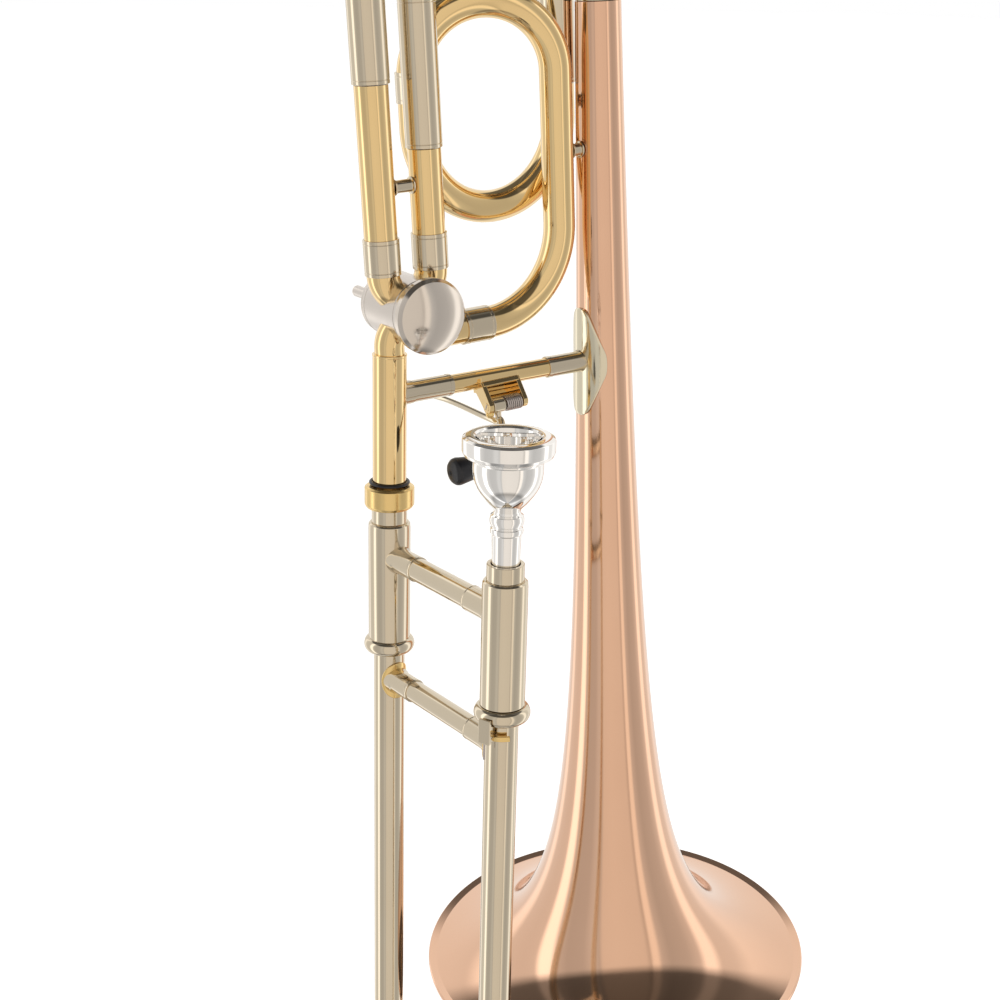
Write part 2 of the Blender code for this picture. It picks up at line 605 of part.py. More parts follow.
def build_f_slide(frame):
    """F tuning slide: a crook that slants from the rear tube to the front one, and its two legs."""
    radius = (REAR_RIGHT_X - RETURN_X) / 2
    steps = 12
    sweep = arc(at((REAR_RIGHT_X + RETURN_X) / 2, 0, F_CROOK_Z), radius, 0, 180, steps)
    for step, point in enumerate(sweep):
        blend = (1 + math.cos(math.pi * step / steps)) / 2
        point.y = -REAR_U * blend
    sweep = [at(REAR_RIGHT_X, REAR_U, F_CROOK_Z - 6.0)] + sweep + [at(RETURN_X, 0, F_CROOK_Z - 6.0)]
    crook = to_mesh(pipe("f_slide_crook", sweep, TUBE_R, "yellow_brass", frame, wall=TUBE_WALL))
    for side, x, u in (("rear", REAR_RIGHT_X, REAR_U), ("front", RETURN_X, 0)):
        slide_leg(f"f_slide_leg_{side}", x, u, 115.0, F_CROOK_Z - 7.6, F_CROOK_Z - 6.3, F_CROOK_Z - 0.5,
                  TUBE_R, 7.4, frame)
    top = F_CROOK_Z + radius + TUBE_R
    unite(crook, disc("f_slide_pull", 3.4, top - 0.4, top + 4.2, None, frame,
                      at((REAR_RIGHT_X + RETURN_X) / 2, REAR_U / 2, 0), edge=0.8, facets=16))


def slide_leg(name, x, u, bottom, ferrule_bottom, seat, top, crook_r, leg_r, frame):
    """Leg of a tuning slide, widened at its top to a ferrule that holds the crook's end."""
    return turned(name, [
        (crook_r + 0.75, top - 0.3), (crook_r + 1.05, top - 0.6), (crook_r + 1.05, ferrule_bottom + 0.3),
        (crook_r + 0.75, ferrule_bottom), (leg_r, ferrule_bottom), (leg_r, bottom), (leg_r - 0.5, bottom),
        (leg_r - 0.5, seat), (crook_r + GAP, seat), (crook_r + GAP, top - 0.3),
    ], "nickel_silver", frame, at(x, u, 0), facets=14)


def stay(name, start, end, radius, start_r, end_r, frame):
    """Short rod between the surfaces of two tubes, given the distances from their axes."""
    span = end - start
    return disc(name, radius, start_r, span.length - end_r, None, frame, start, span, 14)


def build_main_slide(frame):
    """Neckpipe, receivers and the main tuning slide that joins the neckpipe to the bell."""
    upright("neck_ferrule", NECK_X, 0, 37.2, 53.8, frame, "nickel_silver", TUBE_R + 0.75, TUBE_R + GAP, 0.4)
    neck = valve_pipe("neckpipe", knuckle(NECK_X - VALVE_X, 1, False, 122.0 - VALVE_Z), TUBE_R, frame,
                      "yellow_brass")
    unite(neck, stay("stay_neck_return", at(NECK_X, 0, 76), at(RETURN_X, 0, 76), 3.0, 7.3, TUBE_R + GAP,
                     frame))
    upright("neck_receiver", NECK_X, 0, 122.0 + GAP, 215.0, frame, "nickel_silver", 8.6, 7.75, 0.3)
    upright("bell_receiver", BELL_X, 0, BELL_TAIL_Z + GAP, 215.0, frame, "nickel_silver", 11.1, 10.2, 0.3)
    for end, x, crook_r, leg_r in (("neck", NECK_X, TUBE_R, 7.4), ("bell", BELL_X, 10.25, 9.85)):
        slide_leg(f"main_slide_leg_{end}", x, 0, 152.0, 215.4, MAIN_CROOK_Z - 8, MAIN_CROOK_Z, crook_r,
                  leg_r, frame)
    half = (BELL_X - NECK_X) / 2
    steps = 16
    sweep = arc(at(NECK_X + half, 0, MAIN_CROOK_Z), half, 180, 0, steps)
    sweep = [at(NECK_X, 0, MAIN_CROOK_Z - 7.7)] + sweep + [at(BELL_X, 0, MAIN_CROOK_Z - 7.7)]
    radii = [TUBE_R + (10.25 - TUBE_R) * index / (steps + 2) for index in range(steps + 3)]
    crook = to_mesh(pipe("main_slide_crook", sweep, TUBE_R, "yellow_brass", frame, wall=TUBE_WALL,
                         radii=radii))
    brace_height = MAIN_CROOK_Z + 30
    reach = math.sqrt(half ** 2 - 30 ** 2)
    unite(crook, disc("main_slide_brace", 3.2, -reach + 7.6, reach - 9.4, None, frame,
                      at(NECK_X + half, 0, brace_height), (1, 0, 0), 14))


def build_upper_brace(frame):
    """Rod brace across the top of the bell section, from the neck receiver to the bell receiver."""
    rod = disc("upper_brace", 3.2, -4.5, BELL_X - NECK_X + 4.5, "nickel_silver", frame,
               at(NECK_X, 13.4, 196), (1, 0, 0), 14, 0.5)
    cut(rod, disc("upper_brace_seat_bell", 11.1 + GAP, 180, 212, None, frame, at(BELL_X, 0, 0)))
    unite(rod, disc("upper_brace_foot", 2.6, 8.6 + GAP, 11.5, None, frame, at(NECK_X, 0, 196), (0, -1, 0),
                    14))


# ---------------------------------------------------------------- bell, its brace and the thumb lever

def bell_radius(height):
    """Outer radius of the bell at a height: a horn whose radius falls with a power of the distance."""
    distance = height - RIM_Z
    return RIM_R * (FLARE_REACH / (distance + FLARE_REACH)) ** FLARE_POWER


def build_bell(frame):
    """One-piece bell with a rolled rim, and the diamond flange of its brace."""
    steps = 15
    length = BELL_TAIL_Z - RIM_Z
    heights = [RIM_Z + 1.2 + (length - 1.2) * (step / steps) ** 2.2 for step in range(steps, -1, -1)]
    outside = [(bell_radius(z), z) for z in heights]
    inside = []
    for z in reversed(heights):
        slope = (bell_radius(z + 0.5) - bell_radius(z - 0.5))
        inside.append((bell_radius(z) - BELL_WALL * math.hypot(1, slope), z))
    bead = [(RIM_R - 1.0 + 1.9 * math.cos(a), RIM_Z + 0.4 + 1.9 * math.sin(a))
            for a in (math.radians(d) for d in (50, 15, -20, -55, -90, -125))]
    outside = outside[:-1]
    turned("bell", outside + bead + inside[1:], "gold_brass", frame, at(BELL_X, 0, 0), facets=28)
    build_bell_flange(frame)


def build_bell_flange(frame):
    """Diamond plate that wraps the bell's stem where the bell brace meets it."""
    low, high, steps = BRACE_RIGHT_Z - 30, BRACE_RIGHT_Z + 30, 6
    levels = [high + (low - high) * step / steps for step in range(steps + 1)]
    outline = [(bell_radius(z) + 1.5, z) for z in levels]
    outline += [(bell_radius(z) + GAP, z) for z in reversed(levels)]
    shell = turned("bell_brace_flange", outline, "nickel_silver", frame, at(BELL_X, 0, 0), facets=40)
    quarter = [(0, 27.6), (3.6, 26.8), (5.4, 24.6), (12.9, 6.4), (13.6, 3.6), (13.6, 0)]
    right = quarter + [(y, -z) for y, z in quarter[-2::-1]]
    corners = right + [(-y, z) for y, z in right[-2:0:-1]]
    diamond = plate("flange_diamond", [(z, y) for y, z in corners], 24.0, None, frame,
                    at(BELL_X - 14, 0, BRACE_RIGHT_Z), -90)
    combine(shell, diamond, "INTERSECT")


def build_bell_brace(frame, slide_frame):
    """Tube between the gooseneck and the bell, with a ferrule on each end."""
    start, end = at(0, 0, BRACE_LEFT_Z), at(BELL_X, 0, BRACE_RIGHT_Z)
    span = end - start
    bell_gap = bell_radius(BRACE_RIGHT_Z) + 1.5 + GAP
    disc("bell_brace_tube", BRACE_R - 0.5, 9.2, span.length - bell_gap - 1.0, "yellow_brass", frame, start,
         span, 16)
    left = ring("bell_brace_ferrule_left", BRACE_R + 0.2, BRACE_R - 0.2, 2.0, 31.5, "nickel_silver", frame,
                start, span, 16)
    cut(left, disc("gooseneck_saddle", 8.1 + GAP, 60, 99, None, slide_frame))
    right = ring("bell_brace_ferrule_right", BRACE_R + 0.2, BRACE_R - 0.2, 86.5, span.length - 2.0,
                 "nickel_silver", frame, start, span, 16)
    cut(right, disc("bell_saddle", bell_gap, -40, -5, None, frame, at(BELL_X, 0, 0), facets=40))


def brace_z(x):
    """Height of the bell brace's axis."""
    return BRACE_LEFT_Z + (BRACE_RIGHT_Z - BRACE_LEFT_Z) * x / BELL_X


def build_thumb_lever(frame):
    """Saddle below the bell brace, hinge pin, spring, lever, rubber touch and link rod."""
    left_ear, right_ear, middle = 46.0, 65.4, 55.7
    top = brace_z(middle) - BRACE_R
    saddle = block("lever_saddle", (21.4, 9.5, 2.2), at(middle, 3.2, top - 0.6), "yellow_brass", frame, 0.3)
    reach, drop = HINGE_U, HINGE_Z - top
    for x in (left_ear, right_ear):
        outline = [(-2.0, 0.6), (-2.0, -2.4), (reach - 3.8, drop + 1.4), (reach - 2.4, drop - 2.9),
                   (reach + 0.8, drop - 3.6), (reach + 3.2, drop - 1.6), (reach + 3.6, drop + 1.4),
                   (9.0, 0.6)]
        ear = plate("lever_ear", [(-z, -u) for u, z in outline], 2.0, None, frame, at(x, 0, top), 90)
        unite(saddle, ear)
    cut(saddle, disc("ear_holes", 1.6, -20, 20, None, frame, at(middle, HINGE_U, HINGE_Z), (1, 0, 0), 16))
    cut(saddle, disc("brace_seat", BRACE_R - 0.5 + GAP, 30, 90, None, frame, at(0, 0, BRACE_LEFT_Z),
                     at(BELL_X, 0, BRACE_RIGHT_Z) - at(0, 0, BRACE_LEFT_Z), 16))
    hinge = at(0, HINGE_U, HINGE_Z)
    disc("lever_hinge_pin", 1.3, left_ear - 1.6, right_ear + 1.4, "nickel_silver", frame, hinge, (1, 0, 0),
         14)
    ring("lever_spring", 4.1, 2.4, 54.2, 63.6, "spring_steel", frame, hinge, (1, 0, 0), 16)
    lever = ring("thumb_lever", 3.7, 1.6, 47.4, 53.6, "nickel_silver", frame, hinge, (1, 0, 0), 20)
    link_end = at(*LINK_END)
    link_arm = [at(51.0, HINGE_U - 0.4, HINGE_Z - 3.3), at(50.4, 10.4, -40.9), at(48.6, 4.0, -40.1),
                at(42.5, -30.0, -36.9), link_end]
    unite(lever, to_mesh(pipe("link_arm", link_arm, 1.6, None, frame, sides=12)))
    unite(lever, disc("link_pin", 1.5, -5.2, 1.6, None, frame, link_end, (1, 0, 0), 12))
    thumb_arm = [at(51.0, HINGE_U + 1.2, HINGE_Z - 3.4), at(50.8, 14.4, -40.4), at(46.5, 21.0, -45.0),
                 at(40.0, 31.0, -49.2), at(33.0, TOUCH_U, TOUCH_Z), at(TOUCH_X + 8.8, TOUCH_U, TOUCH_Z)]
    unite(lever, to_mesh(pipe("thumb_arm", thumb_arm, 2.1, None, frame, sides=12)))
    turned("thumb_touch", [
        (0, 8.4), (2.1 + GAP, 8.4), (2.1 + GAP, 14.8), (4.6, 14.8), (5.2, 14.2), (6.6, 3.4), (6.0, 1.4),
        (4.4, 0.4), (0, 0),
    ], "black_rubber", frame, at(TOUCH_X, TOUCH_U, TOUCH_Z), (1, 0, 0), 20)
    build_link_rod(frame, link_end)


def build_link_rod(frame, link_end):
    """Rod from the lever's link arm up to the stop arm's stud."""
    angle = math.radians(STOP_ANGLE)
    upper = at(VALVE_X + STOP_REACH * math.cos(angle), LINK_STUD_U,
               VALVE_Z + STOP_REACH * math.sin(angle))
    lower = link_end + Vector((-3.3, 0, 0))
    span = upper - lower
    rod = ring("link_rod", 3.4, 1.5 + GAP, -1.5, 1.5, "nickel_silver", frame, lower, (1, 0, 0), 16)
    unite(rod, disc("link_rod_bar", 1.3, 2.6, span.length - 1.0, None, frame, lower, span, 12))
    unite(rod, disc("link_rod_socket", 3.3, -31.6, -27.4 - GAP, None, frame,
                    upper + Vector((0, LINK_STUD_U, 0)), (0, -1, 0), 16))


# ---------------------------------------------------------------- assembly

slide_frame = make_frame("slide_frame", (0, 0, 0), (0, 0, SLIDE_TURN))
bell_frame = make_frame("bell_frame", (0, 0, PIVOT_Z), (0, -CANT, 0))
bpy.context.view_layer.update()

build_inner_slide(slide_frame)
build_lock_ring(slide_frame)
build_outer_slide(slide_frame)
build_water_key(slide_frame)
build_mouthpiece(slide_frame)
build_neck(slide_frame, bell_frame)
build_valve(bell_frame)
build_f_tubing(bell_frame)
build_f_slide(bell_frame)
build_main_slide(bell_frame)
build_upper_brace(bell_frame)
build_bell(bell_frame)
build_bell_brace(bell_frame, slide_frame)
build_thumb_lever(bell_frame)
bpy.context.view_layer.update()
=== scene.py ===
"""Visual model of a tenor trombone with a rotary F attachment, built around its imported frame.

Lengths are in millimetres in two frames, as in the part's source: the slide's, turned about Z, and the
bell section's, which leans away from the slide. Every shell carries an exact normal at each vertex.
"""

import json
import math

import bpy
import numpy as np
from mathutils import Matrix, Vector


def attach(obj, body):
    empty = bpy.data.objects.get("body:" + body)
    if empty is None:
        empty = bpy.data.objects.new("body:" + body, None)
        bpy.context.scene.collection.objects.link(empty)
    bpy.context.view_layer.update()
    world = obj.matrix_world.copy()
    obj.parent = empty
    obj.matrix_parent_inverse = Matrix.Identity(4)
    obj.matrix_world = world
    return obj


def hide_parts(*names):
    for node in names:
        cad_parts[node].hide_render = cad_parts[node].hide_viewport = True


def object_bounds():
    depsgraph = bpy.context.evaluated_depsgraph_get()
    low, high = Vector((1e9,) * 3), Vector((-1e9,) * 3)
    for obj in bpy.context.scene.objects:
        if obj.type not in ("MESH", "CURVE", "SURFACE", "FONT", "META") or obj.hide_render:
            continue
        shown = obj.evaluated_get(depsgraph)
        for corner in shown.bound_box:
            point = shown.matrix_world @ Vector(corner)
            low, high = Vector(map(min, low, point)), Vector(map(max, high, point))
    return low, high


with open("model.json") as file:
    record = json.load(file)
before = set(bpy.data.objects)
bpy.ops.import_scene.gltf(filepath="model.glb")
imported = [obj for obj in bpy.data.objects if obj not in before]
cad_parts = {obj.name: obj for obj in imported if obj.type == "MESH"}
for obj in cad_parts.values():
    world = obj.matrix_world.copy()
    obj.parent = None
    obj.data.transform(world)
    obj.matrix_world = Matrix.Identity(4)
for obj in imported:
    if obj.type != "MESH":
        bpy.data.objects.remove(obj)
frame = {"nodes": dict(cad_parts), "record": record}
cad_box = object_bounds()

MM = 0.001
TINY = 1e-6
FACETS = 96
SLIDE_TURN, CANT, PIVOT_Z = -85.5, 4.2, 100.0
SPACING = 93.3
INNER_R, INNER_BORE, STOCKING_R = 6.85, 6.45, 7.0
OUTER_R, OUTER_BORE, OUTER_TOP, OUTER_END, INNER_END = 7.65, 7.25, -18.0, -705.0, -690.0
BOW_Z, HALF = -722.0, SPACING / 2
BARREL_R, BARREL_BORE, BARREL_TOP, BARREL_END = 10.25, 9.3, 17.2, -42.3
TENON_R, TENON_TOP, NUT_BOTTOM, NUT_TOP = 8.6, 33.0, 24.8, 35.6
BEAD_Z, BEAD_HALF, BEAD_SWELL = -46.2, 3.6, 2.8
SLIDE_BRACE_Z, SLEEVE_R = -64.0, 8.6
BELL_X, RIM_Z, RIM_R, FLARE_REACH, FLARE_POWER, BELL_TAIL_Z = 122.3, -382.0, 108.0, 17.3, 0.66, 150.0
VALVE_X, VALVE_Z, CASING_R = 12.0, 19.2, 15.6
NECK_X, RETURN_X, LEAD_X = -0.7, 24.4, 97.0
REAR_LEFT_X, REAR_RIGHT_X, REAR_U = 30.6, 110.6, -18.0
TUBE_R, TUBE_WALL, RECEIVER_BORE, CROOK_END_R = 7.75, 0.7, 7.75, 10.25
F_CROOK_Z, CROSSING_Z, LOWER_BOW_Z, MAIN_CROOK_Z = 165.0, 120.0, 97.5, 235.0
BRACE_LEFT_Z, BRACE_RIGHT_Z, BRACE_R = -20.3, -23.6, 5.1
HINGE_U, HINGE_Z, LINK_END = 11.0, -32.6, (30.0, -50.0, -36.4)
LEFT_EAR, RIGHT_EAR, LEVER_X = 46.0, 65.4, 55.7
TOUCH_X, TOUCH_U, TOUCH_Z = 7.6, 38.0, -50.5
HOOK_ANGLE, HOOK_REACH = -69.0, 14.2
STOP_REACH, STOP_ANGLE = 11.0, -45.0
KEY_PIVOT = (-13.6, 0.0, -713.0)
SOFT_BEND = 22.0      # degrees below which a corner of an outline is smoothed instead of rounded
ROUND_STEP = 15.0     # degrees of bend for each point of a rounded corner
CORNER_SHARE, SHARPEST = 0.48, 2.6      # of an edge that one corner may take up; bend in radians


# ---------------------------------------------------------------- frames and small vector tools

def turn(axis, degrees):
    return np.array(Matrix.Rotation(math.radians(degrees), 4, axis))


SLIDE = turn("Z", SLIDE_TURN)
BELL = np.array(Matrix.Translation((0, 0, PIVOT_Z))) @ turn("Y", -CANT)


def at(x, u, z):
    """Point of the bell section's frame, with u its reach towards the mouthpiece."""
    return np.array((x, -u, z), float)


TOWARD = (0, -1, 0)      # towards the mouthpiece, along the valve's axis
CASING = (at(VALVE_X, 0, VALVE_Z), TOWARD, CASING_R)


def unit(vector):
    vector = np.asarray(vector, float)
    return vector / np.linalg.norm(vector, axis=-1, keepdims=True)


def across(axis):
    """Two unit vectors that make a right-handed set with an axis."""
    axis = unit(axis)
    helper = np.array((0.0, 0.0, 1.0)) if abs(axis[2]) < 0.9 else np.array((1.0, 0.0, 0.0))
    first = unit(np.cross(helper, axis))
    return first, np.cross(axis, first)


def direction(degrees):
    """Unit vector in the XZ plane of a frame, from X towards Z."""
    angle = math.radians(degrees)
    return np.array((math.cos(angle), 0.0, math.sin(angle)))


def arc(centre, radius, start, end, steps):
    """Points on a circle in the XZ plane, from one angle to another."""
    angles = np.radians(np.linspace(start, end, steps + 1))[:, None]
    return np.asarray(centre, float) + radius * (
        np.cos(angles) * np.array((1.0, 0, 0)) + np.sin(angles) * np.array((0, 0, 1.0)))


def smooth(points, count):
    """Catmull-Rom curve through a few points."""
    points = np.asarray([np.asarray(p, float) for p in points])
    ends = np.vstack([2 * points[0] - points[1], points, 2 * points[-1] - points[-2]])
    result = []
    spans = len(points) - 1
    for t in np.linspace(0, spans, count):
        k = min(int(t), spans - 1)
        s = t - k
        a, b, c, d = ends[k:k + 4]
        result.append(0.5 * ((2 * b) + (c - a) * s + (2 * a - 5 * b + 4 * c - d) * s * s
                             + (3 * b - a - 3 * c + d) * s ** 3))
    return np.array(result)


def rectangle(half_width, half_height):
    return [(-half_width, -half_height), (half_width, -half_height), (half_width, half_height),
            (-half_width, half_height)]


def curl(x, y, radius, start, end, count):
    """Outline points on a circle round a point, between two angles in degrees."""
    angles = np.radians(np.linspace(start, end, count))
    return [(x + radius * math.cos(a), y + radius * math.sin(a)) for a in angles]


def groove(radius, height, depth=0.14, half=0.25, floor=0.1):
    """Turned line round a shell, from its upper edge to its lower one."""
    return [(radius, height + half), (radius - depth, height + floor), (radius - depth, height - floor),
            (radius, height - half)]


def rounded(outline, soft, closed):
    """Points and normals of an outline whose corners are rounded. A point may carry its own radius."""
    corners = [np.array(p[:2], float) for p in outline]
    radii = [p[2] if len(p) > 2 else soft for p in outline]
    count = len(corners)
    points, normals = [], []

    def side(along):
        return np.array((-along[1], along[0]))

    for i, corner in enumerate(corners):
        before = corners[i - 1] if closed or i > 0 else None
        after = corners[(i + 1) % count] if closed or i < count - 1 else None
        if before is None or after is None:
            along = unit(after - corner) if before is None else unit(corner - before)
            points.append(corner)
            normals.append(side(along))
            continue
        come, leave = unit(corner - before), unit(after - corner)
        bend = math.acos(max(-1.0, min(1.0, float(come @ leave))))
        if math.degrees(bend) < SOFT_BEND:
            points.append(corner)
            normals.append(unit(side(come) + side(leave)))
            continue
        room = CORNER_SHARE * min(np.linalg.norm(corner - before), np.linalg.norm(after - corner))
        reach = min(radii[i] * math.tan(min(bend, SHARPEST) / 2), room)
        start, end = corner - come * reach, corner + leave * reach
        pieces = max(3, int(math.degrees(bend) / ROUND_STEP))
        for t in (k / pieces for k in range(pieces + 1)):
            points.append((1 - t) ** 2 * start + 2 * t * (1 - t) * corner + t * t * end)
            normals.append(unit(side(come) * (1 - t) + side(leave) * t))
    return np.array(points), np.array(normals)


def transport(path):
    """Tangents and one steady cross direction along a path."""
    path = np.asarray(path, float)
    tangents = np.empty_like(path)
    tangents[1:-1] = path[2:] - path[:-2]
    tangents[0], tangents[-1] = path[1] - path[0], path[-1] - path[-2]
    tangents = unit(tangents)
    sides = [across(tangents[0])[0]]
    for tangent in tangents[1:]:
        sides.append(unit(sides[-1] - tangent * (sides[-1] @ tangent)))
    return path, tangents, np.array(sides)


def onto(points, along, centre, axis, radius):
    """Slide points along a direction until they lie on a cylinder, by the nearer of its two crossings."""
    points = np.atleast_2d(points)
    axis = unit(axis)
    offset = points - np.asarray(centre, float)
    offset = offset - np.outer(offset @ axis, axis)
    ray = along - axis * (along @ axis)
    a, b = ray @ ray, offset @ ray
    c = (offset ** 2).sum(axis=1) - radius ** 2
    root = np.sqrt(np.maximum(b * b - a * c, 0.0))
    first, second = (-b - root) / a, (-b + root) / a
    step = np.where(np.abs(first) < np.abs(second), first, second)
    return points + step[:, None] * along


def normals_of(rings):
    """Smooth normals of a stack of equal rings, from the directions along and across it."""
    stack = np.stack(rings)
    around = np.roll(stack, -1, axis=1) - np.roll(stack, 1, axis=1)
    return list(unit(np.cross(np.gradient(stack, axis=0), around)))


# ---------------------------------------------------------------- pieces

class Piece:
    """A visible piece of closed shells, in a section's frame, that stands for a CAD node."""

    def __init__(self, node, matrix, finish="nickel_silver", name=None):
        self.node, self.matrix, self.finish = node, matrix, finish
        self.name = name or f"{node}_fine"
        self.points, self.normals, self.faces, self.paints, self.finishes = [], [], [], [], []
        self.total = 0

    def skin(self, rings, normals, finish=None, loop=False):
        """Faces between rings of points, all with as many points or with one at a pole."""
        finish = finish or self.finish
        if finish not in self.finishes:
            self.finishes.append(finish)
        paint = self.finishes.index(finish)
        rings = [np.atleast_2d(ring) for ring in rings]
        sizes = [len(ring) for ring in rings]
        starts = self.total + np.cumsum([0] + sizes)
        self.points += rings
        self.normals += [np.atleast_2d(normal) for normal in normals]
        self.total += sum(sizes)
        for a in range(len(rings) if loop else len(rings) - 1):
            b = (a + 1) % len(rings)
            size = max(sizes[a], sizes[b])
            near = starts[a] + np.arange(size) % sizes[a]
            far = starts[b] + np.arange(size) % sizes[b]
            quads = np.stack([near, far, np.roll(far, -1), np.roll(near, -1)], axis=1)
            if sizes[a] == 1:
                quads = quads[:, :3]
            elif sizes[b] == 1:
                quads = quads[:, [0, 1, 3]]
            self.faces += quads.tolist()
            self.paints += [paint] * size
        return self

    def lathe(self, outline, origin=(0, 0, 0), axis=(0, 0, 1), facets=FACETS, soft=0.15, finish=None):
        """Turned shell: radius and height pairs, down the outside and back up the inside."""
        solid = outline[0][0] < TINY
        points, normals = rounded(outline, soft, not solid)
        axis = unit(axis)
        first, second = across(axis)
        angles = np.linspace(0, 2 * math.pi, facets, endpoint=False)[:, None]
        spoke = np.cos(angles) * first + np.sin(angles) * second
        origin = np.asarray(origin, float)
        rings, facing = [], []
        for (radius, height), (out, up) in zip(points, normals):
            if radius < TINY:
                rings.append(origin + height * axis)
                facing.append(axis * (1 if up > 0 else -1))
            else:
                rings.append(origin + radius * spoke + height * axis)
                facing.append(unit(out * spoke + up * axis))
        return self.skin(rings, facing, finish, loop=not solid)

    def sleeve(self, outer, inner, bottom, top, origin=(0, 0, 0), axis=(0, 0, 1), soft=0.25, facets=FACETS,
               finish=None):
        outline = [(outer, top), (outer, bottom), (inner, bottom), (inner, top)]
        return self.lathe(outline, origin, axis, facets, soft, finish)

    def rod(self, radius, bottom, top, origin=(0, 0, 0), axis=(0, 0, 1), soft=0.25, facets=48, finish=None):
        outline = [(0, top), (radius, top), (radius, bottom), (0, bottom)]
        return self.lathe(outline, origin, axis, facets, soft, finish)

    def sweep(self, path, radii, wall=0.0, facets=64, squash=1.0, starts_on=None, ends_on=None, soft=0.25,
              finish=None):
        """Tube or rod along a path. An end may be trimmed to a cylinder (point, axis, radius)."""
        path, tangents, sides = transport(path)
        radii = np.broadcast_to(np.asarray(radii, float), (len(path),))
        angles = np.linspace(0, 2 * math.pi, facets, endpoint=False)[:, None]

        def ring(k, radius, shift=0.0):
            a = sides[k]
            b = np.cross(tangents[k], a)
            shape = np.cos(angles) * a - np.sin(angles) * b * squash
            facing = unit(np.cos(angles) * a - np.sin(angles) * b / squash)
            return path[k] + shape * radius + tangents[k] * shift, facing

        last = len(path) - 1
        edge = min(soft, 0.4 * wall) if wall else soft
        ends = [np.broadcast_to(tangents[k], (facets, 3)) for k in (0, last)]
        rings = [(ring(0, radii[0] - edge)[0], -ends[0]), ring(0, radii[0], edge)]
        rings += [ring(k, radii[k]) for k in range(1, last)]
        rings += [ring(last, radii[last], -edge), (ring(last, radii[last] - edge)[0], ends[1])]
        if wall:
            inner = [ring(k, radii[k] - wall) for k in range(last, -1, -1)]
            rings += [(points, -facing) for points, facing in inner]
        else:
            rings = [(path[0], -tangents[0])] + rings + [(path[last], tangents[last])]
        shells = [np.array(points) for points, _ in rings]
        for trim, k, chosen in ((starts_on, 0, (0, 1, -1)), (ends_on, last, (last, last + 1, last + 2))):
            if trim:
                for index in chosen:
                    shells[index] = onto(shells[index], tangents[k], *trim)
        return self.skin(shells, [facing for _, facing in rings], finish, loop=bool(wall))

    def tube(self, path, radii=TUBE_R, **trims):
        return self.sweep(path, radii, TUBE_WALL, FACETS, **trims)

    def slab(self, outline, thickness, origin, axis, right, soft=0.3, corner=0.5, finish=None):
        """Plate with an outline in the plane across its axis, half its thickness to each side."""
        axis, right = unit(axis), unit(right)
        up = np.cross(axis, right)
        outline = list(outline)
        area = sum(a[0] * b[1] - b[0] * a[1] for a, b in zip(outline, outline[1:] + outline[:1]))
        flat, normal = rounded(outline[::-1] if area > 0 else outline, corner, True)
        middle = flat.mean(axis=0)
        origin = np.asarray(origin, float)
        half = thickness / 2

        def level(inset, height):
            points = flat - normal * inset
            return origin + points[:, :1] * right + points[:, 1:] * up + height * axis

        side = normal[:, :1] * right + normal[:, 1:] * up
        cap = np.broadcast_to(axis, side.shape)
        centre = origin + middle[0] * right + middle[1] * up
        levels = ((soft, half), (soft * 0.3, half - soft * 0.3), (0.0, half - soft))
        upper = [level(inset, height) for inset, height in levels]
        lower = [level(inset, -height) for inset, height in levels[::-1]]
        rings = [centre + half * axis] + upper + lower + [centre - half * axis]
        facing = [axis, cap, unit(cap + side), side, side, unit(side - cap), -cap, -axis]
        return self.skin(rings[::-1], facing[::-1], finish)

    def band(self, corners, origin, axis, right, start, end, finish=None):
        """Part of a turn: an outline of radius and height pairs swept between two angles and capped."""
        axis, right = unit(axis), unit(right)
        up = np.cross(axis, right)
        flat, facing = rounded(corners, 0.3, True)
        rings, normals, steps = [], [], 32
        for angle in np.radians(np.linspace(end, start, steps)):
            spoke = math.cos(angle) * right + math.sin(angle) * up
            rings.append(origin + flat[:, :1] * spoke + flat[:, 1:] * axis)
            normals.append(facing[:, :1] * spoke + facing[:, 1:] * axis)
        first, last = math.radians(end), math.radians(start)
        before = math.cos(first) * up - math.sin(first) * right
        after = math.sin(last) * right - math.cos(last) * up
        rings = [rings[0].mean(axis=0), rings[0]] + rings + [rings[-1], rings[-1].mean(axis=0)]
        caps = [np.broadcast_to(way, flat.shape[:1] + (3,)) for way in (before, after)]
        return self.skin(rings, [before, caps[0]] + normals + [caps[1], after], finish)

    def plate(self, rings, out):
        """Closed plate from a stack of rings, outer face first, with the way its middle faces."""
        out = np.array(out, float)
        facing = normals_of(rings)
        if facing[2][0] @ out < 0:
            rings = [ring[::-1] for ring in rings]
            facing = normals_of(rings)
        return self.skin([rings[0].mean(axis=0)] + rings + [rings[-1].mean(axis=0)], [out] + facing + [-out])

    def done(self, body="bell_section", slot=None):
        """Make the object, let it ride on its body and stand for its CAD node."""
        points = (np.concatenate(self.points) @ self.matrix[:3, :3].T + self.matrix[:3, 3]) * MM
        normals = unit(np.concatenate(self.normals) @ self.matrix[:3, :3].T)
        mesh = bpy.data.meshes.new(self.name)
        mesh.from_pydata(points.tolist(), [], self.faces)
        mesh.polygons.foreach_set("use_smooth", [True] * len(mesh.polygons))
        mesh.polygons.foreach_set("material_index", self.paints)
        mesh.normals_split_custom_set_from_vertices(normals.tolist())
        for finish in self.finishes:
            mesh.materials.append(material(finish))
        mesh.update()
        obj = bpy.data.objects.new(self.name, mesh)
        bpy.context.scene.collection.objects.link(obj)
        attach(obj, body)
        if self.node:
            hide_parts(self.node)


# ---------------------------------------------------------------- materials

